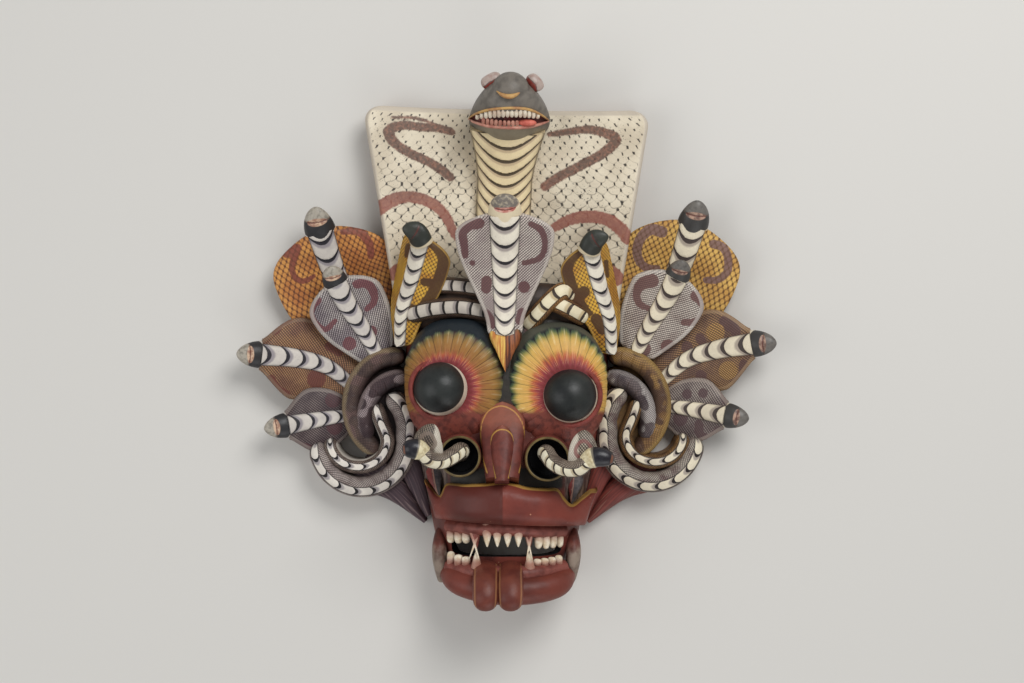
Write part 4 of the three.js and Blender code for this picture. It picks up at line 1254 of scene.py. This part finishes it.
def shell_red(place, surface, plates, marks):
    """Brick-red face, dark between and above the brows and under the nostrils, streaked grey in the lip's
    notches."""
    x, y, _ = place.parts()
    cloud = place.noise(0.04, 3.0)
    colour = cloud.mottle(BRICK, BRICK_SHADE)
    dark = abs(x + (cloud - 0.5) * 8).ease(24.0, 16.0) * y.ease(-70.0, -56.0)
    dark = dark.most(y.ease(-122.0, -127.0) * y.ease(-150.0, -144.0) * abs(x).ease(60.0, 54.0))
    dark = dark.most(y.ease(10.0, 16.0))
    colour = dark.blend(colour, cloud.mottle((52, 46, 38), (36, 34, 32)))
    streak = place.stretched(0.5, 0.06, 0.1).noise(1.0, 3.0)
    notch = (abs(x) + (cloud - 0.5) * 3).ease(56.0, 60.0) * (y + x * 0.05).ease(-122.0, -128.0)
    notch = notch * y.ease(-172.0, -164.0)
    colour = (notch * 0.9).blend(colour, streak.ease(0.4, 0.62).blend((70, 62, 58), (128, 114, 104)))
    chip = place.noise(0.45, 2.0).ease(0.71, 0.74) * place.noise(0.03, 1.0).ease(0.5, 0.58)
    colour = (chip * 0.8).blend(colour, (198, 172, 146))
    return colour, 0.42 + cloud * 0.1, cloud * 0.2 - chip * 0.2


def flap_paint(place, surface, plates, marks):
    """A cheek flap: brick red above, worn to a pale grey below the corner of the mouth."""
    _, y, _ = place.parts()
    cloud = place.noise(0.09, 3.0)
    wear_and_highlight = (y + (cloud - 0.5) * 24).ease(-202.0, -216.0)
    colour = cloud.mottle((116, 62, 52), (82, 46, 40))
    grey = cloud.mottle((146, 130, 116), (104, 84, 74))
    return wear_and_highlight.blend(colour, grey), 0.42 + cloud * 0.1, cloud * 0.3


face_finishes = [painted(*row) for row in (
    ("face_red", shell_red),
    ("face_wood", bare_wood),
    ("brow_petals", brow_petals),
    ("eyelid_red", flat_paint((142, 66, 58), (110, 48, 42), 0.38)),
    ("eye_dark", eye_dark, 0.1),
    ("nose_red", nose_red),
    ("nostril_rim", flat_paint((124, 106, 66), (84, 70, 46))),
    # Painted shade: black paint inside the nostrils and on the cut walls of the mouth stands in for the dark
    # of deep openings.
    ("black_hollow", flat_paint(BLACK, (24, 24, 28), 0.6)),
    ("lip_red", lip_red),
    ("lower_lip_red", flat_paint((118, 58, 47), (96, 46, 38), 0.38, (0.03, 0.05, 0.05))),
    ("gum_pink", flat_paint((138, 78, 68), (96, 48, 42), 0.38)),
    ("tooth_ivory", tooth_ivory),
    ("tongue_red", tongue_red),
    ("cheek_flap", flap_paint),
    ("coil_bed", flat_paint((66, 50, 40), (42, 34, 30))),
    ("grey_coil", coil_paint(-0.6, 0.6, (200, 190, 176), (136, 126, 122), INK, (112, 88, 70), (84, 64, 54))),
    ("cream_coil",
     coil_paint(-0.5, 0.7, (234, 222, 190), (190, 168, 128), (66, 56, 48), (176, 126, 72), (128, 88, 58))),
    ("petal_stripes", petal_stripes),
    ("leaf_stripes", leaf_stripes),
    ("centre_hood", hood_paint((226, 214, 200), (196, 180, 172), (66, 52, 56), MAROON, edge=(210, 200, 188))),
    ("belly_plates", plate_bands(WHITE_PLATE, PLATE_SHADE, (44, 40, 42))),
    ("yellow_hood",
     hood_paint((218, 170, 66), (190, 134, 52), (84, 56, 36), (58, 36, 32), net=3.6, edge=(206, 164, 84))),
    ("centre_head",
     snake_face((222, 206, 174), (218, 172, 156), (180, 104, 92), (122, 114, 106), (230, 216, 186))),
    ("dark_head", snake_face((50, 52, 47), (62, 60, 54), (54, 52, 48), (58, 60, 54), (214, 198, 166))))]
brows = [brow((-49.5, -40), (52.5, 64), (-63.5, -48), (-54.5, -46), (55, 59), 1.0),
         brow((48.5, -44), (52, 64), (63.5, -52.5), (53, -46.4), (52.3, 63), 0.0)]
eyes = [eye_ball((-64.5, -46.5), (-68, -45.6, 25.6)), eye_ball((62.5, -53.5), (63.6, -53.6, 26.4))]
face = carved(
    "face_mask", face_shell(),
    [("UNION",
      [*brows, *nose, upper_lip(), lower_lip, *cheek_flaps, petal, *notch_leaves,
       *[nostril_ring(*place) for place in NOSTRILS]]),
     ("DIFFERENCE", [face_shell(WALL, FACE_WOOD), mouth_slot()]),
     ("UNION", [*eyes, *gums, *teeth, *tongue, *forehead, *forehead_cobras]),
     ("DIFFERENCE", [*[nostril_hole(*place) for place in NOSTRILS], crest_plate(GAP), crest_neck(GAP)])],
    face_finishes)
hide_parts("face_mask")
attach(face, "root")


# Wings: on each side a fan of four cobras rising from a knot of coils, carved as one pierced board with a
# flat bare back and fixed to the edge of the face. Ochre, grey and brown hoods with a fine net or hatch and
# maroon marks.
(TOP_HOOD, WING_WOOD, SECOND_HOOD, OUTER_HOOD, LOWER_HOOD, WING_BELLY, WING_HEAD, COIL_A, COIL_B, COIL_C,
 COIL_D, WING_BOARD, WING_LEAF) = range(13)
WING_THICKNESS = 14
WING_COBRAS = [
    ([(132, -14, 8), (152, 22, 9), (174, 66, 14), (189, 112, 28)],
     [(188, 109, 28), (191, 121.5, 37), (192.9, 135.5, 46)], 59, 0.74, 22, 13.5, 0.08, 16, 17, TOP_HOOD,
     (2.5, 0.92)),
    ([(130, -16, 24), (144, 10, 26), (160, 36, 32), (172, 60, 44)],
     [(171, 57, 44), (174, 66, 51), (176, 75, 60)], 37, 0.72, 14, 11.5, 0.1, 13, 16, SECOND_HOOD,
     (2.5, 0.92)),
    ([(156, -46, 12), (184, -25, 14), (214, -17, 18), (250, -13, 29)],
     [(248, -13.2, 28), (259, -13, 35), (272.5, -12.6, 42)], 39.5, 0.66, 14, 11, 0.08, 13.8, 17, OUTER_HOOD,
     (2.0, 1.4)),
    ([(158, -75, 14), (176, -77, 16), (198, -80.5, 20), (223, -85, 29)],
     [(221, -84.4, 28), (232, -86.4, 34), (245, -88.4, 39)], 30.5, 0.64, 12, 9.5, 0.1, 12.8, 15.5,
     LOWER_HOOD, (2.0, 1.4))]
RIGHT_LIFT = [(2, 6.5), (3, 6), (4, 11), (10, 10)]
RIGHT_COIL_LIFT = 5
OUTER_DISCS = [[(209.1, 9, 9.4)], [(221.5, -29, 9.4)]]
LEFT_MARKS = [
    [[(-219.5, 88.5, 5), (-209.5, 94, 4), (-212.5, 83.5, 3.6), (-214.5, 72.5, 3), (-210.5, 63, 3),
      (-202, 60.5, 2.8), (-192.5, 65.5, 2)],
     [(-163.5, 109.5, 3), (-148.5, 110.5, 4.5), (-137.5, 98.5, 4), (-135.5, 85.5, 3.4)]],
    [[(-187.7, 41, 3), (-194, 33.5, 3), (-195, 25.5, 3), (-190.5, 18, 3), (-181.5, 12, 3),
      (-171.5, 20.5, 2.6)],
     [(-157.1, -2.1, 7)],
     [(-149.5, 57.5, 4.5), (-140.5, 58.5, 5), (-133.5, 50.5, 4.4), (-132.5, 39.5, 3.4), (-139.5, 32.5, 3)],
     [(-135.5, 9.5, 6.5)]],
    [[(-231.5, 11.5, 5), (-223.5, 18.5, 3), (-215.5, 20.5, 2)],
     [(-235.5, -37.5, 4.5), (-228.5, -46.5, 3), (-218.5, -51.5, 2.4)], [(-190, -37.5, 9.5)],
     [(-177.5, -4.5, 4.5), (-167.5, -10.5, 4.5)]],
    [[(-219.5, -60.5, 4)], [(-173.5, -58.5, 8)], [(-172, -85.5, 8)],
     [(-210.5, -102.5, 3.5), (-196.5, -106.5, 3.5)]]]
RIGHT_MARKS = [
    [[(155.5, 109.5, 5.8), (144.5, 112, 5.6), (135, 104.5, 5.2), (130.5, 91.5, 4.8), (134, 78.5, 4.4),
      (142.5, 73, 3.8), (151.5, 74, 2.6)],
     [(207, 97.5, 4.4), (216.5, 94, 4.4), (221.5, 82.5, 4.2), (220.5, 69.5, 4), (210.5, 61.5, 3.6),
      (199.5, 61.5, 3.4)]],
    [[(145.5, 60.5, 7), (135.5, 57.5, 6), (130, 47.5, 4), (133, 37.5, 3.6), (142.5, 33, 2.6)],
     [(188.5, 45.5, 5), (196, 37.5, 4), (197, 27.5, 4), (189.5, 20, 4), (177.5, 19, 3.4)],
     [(161.5, -5.5, 7.6)], [(136.5, -7.5, 8)], [(162.5, -20.5, 6)]],
    [[(180.5, -5.5, 6)], [(237, -22.5, 4.6), (236.5, -32.5, 4.6), (230.5, -40.5, 4)], [(194.5, -34.5, 6)],
     [(219.5, 19.5, 7), (228.5, 11.5, 5), (230.5, 3.5, 4)], [(193.5, 3.5, 5), (197.5, -4.5, 4)]],
    [[(218.5, -50.5, 4.6), (218.5, -58.5, 4)], [(180.5, -52.5, 5)], [(196.5, -51.5, 5)], [(174, -77, 7.6)],
     [(192.5, -82.5, 4.4), (193.5, -92.5, 4.6), (202.5, -97, 4.4), (212.5, -90.5, 6)]]]
KNOT = (147, -101)


def arc(centre, wide, tall, start, end, height):
    """Points on part of an oval, at one height, by angle in degrees."""
    angle = np.radians(np.linspace(start, end, 12))
    return grid(centre[0] + wide * np.cos(angle), centre[1] + tall * np.sin(angle), height)


WING_COILS = [
    (arc((112, -65), 45.5, 50, 100, -66, 32), 9.5, 12, COIL_A, (0, 1)),
    (arc((107, -80), 37, 43, 100, -28, 34), 9, 12, COIL_B, (0, 1)),
    (np.vstack([[(133, -64, 36), (128, -80, 34)], arc((150, -101), 29, 26, 175, 366, 30)]), 7.2, 15.5, COIL_C,
     (0, 0.45)),
    (np.vstack([[(120, -54, 34), (108, -66, 32), (102, -84, 28)], arc(KNOT, 45, 47, 172, 358, 26)]), 10.5,
     16.5, COIL_D, (-0.4, 0.4))]


def wing_coil(points, radius, pitch, slot, side, belly):
    """A coil of the knot: a half round on straight flanks that spread a little down to the back board,
    rounded off at both ends; the plates along it are 0.8 mm proud at their tail ends and bowed across the
    belly, which is given by its middle and half width as shares of the radius."""
    t = np.linspace(0, 1, 150)
    angle = np.linspace(0, np.pi, 33)
    g = np.cos(angle)
    length = path_length(points, t)
    bow = np.clip((g - side * belly[0]) / belly[1], -1.3, 1.3)
    count = plate_count(length, np.full(len(t), float(pitch)), bow, 4, 0.3)
    relief = 0.8 * (1 - count % 1) * np.clip(np.sin(angle) * 2, 0, 1)
    from_end = np.minimum(length, length[-1] - length)
    full = np.sqrt(1 - (1 - np.clip(from_end / (1.3 * radius), 0, 1)) ** 2)
    wide = (radius * np.maximum(full, 0.15))[:, None]
    place, _ = smooth_path(points, t)
    foot = np.repeat(-place[:, 2:], 2, axis=1)
    across = np.hstack([wide * g, -1.12 * wide, 1.12 * wide])
    rings = carried(points, UP, t, across, np.hstack([0.9 * wide * np.sin(angle) + relief, foot]))
    plates = [np.hstack([count, np.zeros((len(t), 2))]), np.append(bow, [0, 0])]
    top = np.append(np.sin(angle), [-1, -1])
    return skin(rings, slot, [length[:, None], np.append(radius * angle, [0, 0])], plates,
                [side * across / radius, top, 0])


def web_board(side):
    """The board behind the knot: a rounded oval slab."""
    size, height = np.array([(1, 0), (1, 14), (0.97, 18), (0.9, 20)], float).T[..., None]
    angle = circle(48)
    rings = grid(side * 118 + 34 * size * np.cos(angle), -72 + 48 * size * np.sin(angle), height)
    return skin(rings, WING_BOARD)


def hatched_coil(ground, shade, ink, glint, patch):
    """A coil with no plates showing: a fine net over a brown ground with patches of another colour, a pale
    line of painted highlight along its outer edge and painted shade along the inner one."""
    def recipe(place, surface, plates, marks):
        across, top, _ = marks.parts()
        along, round_it, _ = surface.parts()
        cloud = place.noise(0.08, 4.0)
        colour = cloud.ease(0.35, 0.68).blend(ground, shade)
        colour = place.noise(0.045, 1.0).ease(0.54, 0.58).blend(colour, patch)
        line = hatch(along, round_it, 2.4, 0.8)
        # Painted highlight: a pale line along the outer edge of the coil's top.
        wear_and_highlight = (across + (cloud - 0.5) * 0.5).ease(0.35, 0.75) * top.ease(-0.2, 0.2)
        colour = (wear_and_highlight * 0.7).blend(colour, glint)
        colour = (line * 0.78).blend(colour, ink)
        # Painted shade: the inner side of the coil darkens towards the ink colour.
        colour = (across.ease(-0.15, -0.85) * 0.65).blend(colour, ink)
        return colour, 0.44 + cloud * 0.12, line * -0.12
    return recipe


def board_edge():
    """A slab under the wings, to cut their backs flat."""
    x, y = np.array([[-400, 400, 400, -400], [-400, -400, 400, 400]], float)
    return skin(grid(x, y, np.array([[-60.0], [0.0]])), WING_WOOD)


def face_cutter():
    """The finished face, as a cutter that leaves bare wood."""
    mesh = face.data.copy()
    mesh.materials.clear()
    mesh.polygons.foreach_set("material_index", np.full(len(mesh.polygons), WING_WOOD, np.int32))
    return bpy.data.objects.new("skin", mesh)


def wing(name, side, strokes, finishes):
    """One wing: the four cobras, the knot of coils, the board behind and the leaf that tails off to the
    chin."""
    parts = []
    right = max(side, 0)
    for row, lift, marks in zip(WING_COBRAS, RIGHT_LIFT, strokes):
        path, head, lobe, peak, root, belly, cup, head_half, pitch, hood, shoulder = row
        path = placed(path, side)
        path[:, 1] += right * np.linspace(*lift, len(path))
        head = placed(head, side, (0, right * lift[1], 0))
        parts += [cobra(path, UP, lobe, peak, root, belly, WING_THICKNESS, cup, head_half, pitch,
                        (hood, WING_BELLY, WING_WOOD), marks, spots=OUTER_DISCS, shoulder=shoulder),
                  snake_head(head, head_half, UP, WING_HEAD)]
    for points, radius, pitch, slot, belly in WING_COILS:
        lift = RIGHT_COIL_LIFT * right if slot in (COIL_C, COIL_D) else 0
        parts.append(wing_coil(placed(points, side, (0, lift, 0)), radius, pitch, slot, side, belly))
    parts.append(ridge(placed([(150, -128, 12), (116, -150, 14), (83, -184, 12)], side),
                       lambda t: 27 * (1 - 0.9 * t ** 0.8), lambda t: 10 - 5 * t, -12, WING_LEAF))
    parts.append(ridge(placed([(110, -108, 12), (94, -140, 14), (80, -178, 12)], side),
                       lambda t: 17 * (1 - 0.75 * t), lambda t: 8 - 4 * t, -10, WING_LEAF))
    piece = carved(name, web_board(side),
                   [("UNION", parts),
                    ("DIFFERENCE",
                     [board_edge(), face_shell(-GAP, WING_WOOD), face_cutter(), crest_plate(GAP)])],
                   finishes)
    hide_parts(name)
    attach(piece, "root")


def wing_leaf(ground, shade, streak):
    """The leaf at the tail of a wing, with long dry brush streaks."""
    def recipe(place, surface, plates, marks):
        along, across, _ = surface.parts()
        brush = place.joined(along * 0.02, across * 0.5, 0.0).noise(1.0, 3.0)
        colour = brush.ease(0.4, 0.62).blend(ground, shade)
        colour = (brush.ease(0.58, 0.66) * 0.6).blend(colour, streak)
        return colour, 0.42 + brush * 0.1, brush * 0.4
    return recipe


def wing_finishes(hand, hoods, plates, head, hatched, plated, board, streaks):
    """The finishes of one wing in the order of its slots."""
    top, *others = (painted(f"{hand}_{kind}_hood", hood_paint(*colours))
                    for kind, colours in zip(("top", "second", "outer", "lower"), hoods))
    coils = [hatched_coil(*colours) for colours in hatched] + [coil_paint(*colours) for colours in plated]
    coils = [painted(f"{hand}_coil_{letter}", coil) for letter, coil in zip("abcd", coils)]
    return [top, wing_wood, *others, plates, painted(f"{hand}_wing_head", snake_face(*head), 0.1), *coils,
            painted(f"{hand}_board", flat_paint(*board)), painted(f"{hand}_leaf", wing_leaf(*streaks))]


HATCHED = 0.0
TOP_NET = 6.0
wing_wood = painted("wing_wood", bare_wood)
wing(
    "left_cobra_wing", -1, LEFT_MARKS,
    wing_finishes(
        "left",
        [((210, 148, 78), (178, 112, 60), (88, 52, 38), (128, 66, 58), TOP_NET),
         ((200, 190, 184), (154, 142, 144), (42, 33, 40), (124, 66, 70), HATCHED, (208, 200, 190)),
         ((176, 132, 92), (140, 98, 76), (56, 38, 34), (116, 62, 54), HATCHED, (140, 116, 96)),
         ((132, 116, 112), (92, 76, 78), (34, 26, 30), (92, 56, 60), HATCHED, (150, 138, 130))],
        painted("wing_plates", plate_bands((210, 202, 192), (140, 132, 138), (42, 40, 46), 0.22)),
        ((48, 47, 48), (212, 182, 154), (158, 116, 96), (170, 162, 148), (210, 202, 192)),
        [((112, 90, 80), (82, 63, 59), (32, 23, 23), (196, 172, 132), (126, 98, 92)),
         ((92, 72, 74), (68, 50, 54), (26, 18, 21), (172, 152, 148), (178, 160, 160))],
        [(-0.46, 0.4, (226, 218, 206), (146, 138, 140), (30, 26, 28), (150, 132, 120), (102, 84, 76),
          (206, 198, 186)),
         (-0.76, -0.04, (226, 218, 206), (146, 138, 140), (30, 26, 28), (188, 174, 166), (138, 120, 116))],
        ((58, 44, 42), (38, 30, 30)), ((70, 56, 62), (92, 74, 78), (152, 132, 128))))
wing("right_cobra_wing", 1, RIGHT_MARKS, wing_finishes(
    "right",
    [((222, 178, 98), (196, 146, 76), (92, 62, 40), (122, 94, 94), TOP_NET),
     ((224, 212, 198), (190, 174, 162), (58, 44, 44), (112, 70, 66), HATCHED, (208, 200, 190)),
     ((164, 126, 88), (122, 92, 76), (56, 40, 36), (96, 68, 66), HATCHED, (170, 140, 106), (192, 148, 88)),
     ((172, 158, 148), (122, 106, 102), (44, 34, 36), (92, 66, 68), HATCHED, (160, 146, 134))],
    painted("warm_plates", plate_bands((228, 216, 190), (156, 142, 130), (70, 60, 56), 0.25)),
    ((62, 60, 58), (182, 148, 128), (112, 88, 78), (110, 105, 99), (222, 210, 186)),
    [((184, 142, 82), (136, 98, 62), (44, 30, 24), (212, 174, 104), (108, 78, 58)),
     ((126, 112, 110), (80, 67, 69), (36, 27, 30), (196, 186, 180), (206, 197, 190))],
    [(-0.5, 0.5, (232, 220, 194), (156, 144, 136), (36, 28, 24), (158, 118, 70), (110, 80, 54)),
     (-0.8, 0.0, (232, 220, 194), (156, 144, 136), (36, 28, 28), (186, 174, 160), (128, 102, 98))],
    ((140, 106, 62), (88, 64, 46)), ((126, 62, 54), (96, 48, 44), (150, 100, 84))))


# Nostril cobras: two small cobras, carved apart and pegged into the nostrils, that curl out to either side.
# Grey-brown hatched backs, cream plates and glossy blue-black heads.
NOSTRIL_HOLE_FLOOR = 72.6
FAN, TRUNK, BEAD = range(3)


def nostril_cobra(name, side, foot, body, head, hood, finishes):
    """A small cobra that rises out of a nostril and bends outwards: a plated body, a blunt head and a hood
    spread upwards in a pointed fan. Places are given by the plan a viewer sees, and by height."""
    neck = np.vstack([[(*foot, NOSTRIL_HOLE_FLOOR)], stands(body)])
    trunk = snake_coil(neck, 8.2, 9.5, TRUNK, 0.95, 110, 3.0, -side)
    fan = rod(stands(hood), lambda t: 15 * (1.01 - t ** 2.6) ** 0.6, FAN, UP, 0.28, 50, 40)

    def blunt(t):
        """Half width of the head: it swells from the neck and is rounded off at the end."""
        return 10 * (1.004 - t ** 5) ** 0.5 * (0.72 + 0.28 * np.minimum(1, 3 * t))

    bead = rod(stands(head), blunt, BEAD, UP, 0.9, 50, 32)
    piece = carved(name, trunk, [("UNION", [fan, bead])], finishes)
    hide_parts(name)
    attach(piece, "root")


def fan_paint(ground, shade, ring):
    """The spread hood: fine hatching, a pale lining on the inner half and a brushed ring on it."""
    def recipe(place, surface, plates, marks):
        t, across, _ = marks.parts()
        along, round_it, _ = surface.parts()
        x, _, _ = place.parts()
        cloud = place.noise(0.15, 3.0)
        inner = (abs(x) + (cloud - 0.5) * 4).ease(71.0, 68.0)
        colour = cloud.mottle(ground, shade)
        colour = (inner * 0.85).blend(colour, (222, 212, 194))
        colour = (hatch(along, round_it, 3.0, 0.7) * (0.95 - inner * 0.6)).blend(colour, INK)
        loop = abs(((t - 0.45) ** 2 * 5 + across * across * 0.9) ** 0.5 - 0.52).ease(0.16, 0.08)
        colour = (loop * 0.8).blend(colour, ring)
        return colour, 0.42 + cloud * 0.1, cloud * 0.1
    return recipe


def bead_head(place, surface, plates, marks):
    """A cream collar, a pale line and a glossy blue-black end with brown lips."""
    t, side, front = marks.parts()
    cloud = place.noise(0.3, 3.0)
    colour = cloud.mottle((226, 214, 176), (190, 172, 132))
    colour = t.ease(0.42, 0.45).blend(colour, (120, 112, 98))
    colour = t.ease(0.47, 0.5).blend(colour, cloud.mottle((24, 23, 30), (36, 35, 42)))
    lips = abs(t - 0.94).ease(0.04, 0.02) * front.ease(0.0, 0.4) * abs(side).ease(0.9, 0.6)
    colour = (lips * 0.8).blend(colour, (132, 84, 62))
    return colour, 0.3 + cloud * 0.14, cloud * 0.1


trunk_paint = painted("nostril_trunk", coil_paint(-0.1, 0.86, (234, 226, 200), (184, 168, 136),
                                                  (56, 46, 40), (166, 150, 132), (116, 100, 88)))
bead_paint = painted("bead_head", bead_head, 0.3)
nostril_cobra(
    "left_nostril_cobra", -1, (-45, -113),
    [(-46, -109, 104), (-54, -114.5, 117), (-65, -119.5, 125), (-76, -118, 130), (-84, -110.5, 132)],
    [(-80, -112, 131), (-91, -107.5, 134), (-104.5, -108.5, 136)],
    [(-79, -113, 126), (-78.5, -98, 131), (-73, -82.5, 129)],
    [painted("left_fan", fan_paint((150, 134, 116), (108, 94, 84), (120, 104, 92))), trunk_paint, bead_paint])
nostril_cobra(
    "right_nostril_cobra", 1, (40, -115),
    [(40, -111.5, 104), (47, -121, 117), (59, -127, 125), (72, -126.5, 130), (81, -119, 132)],
    [(77, -121, 131), (89, -115.5, 134), (108, -118, 136)],
    [(77, -122, 126), (77, -106, 131), (78, -88.5, 129)],
    [painted("right_fan", fan_paint((190, 176, 156), (150, 132, 116), (128, 74, 70))), trunk_paint,
     bead_paint])
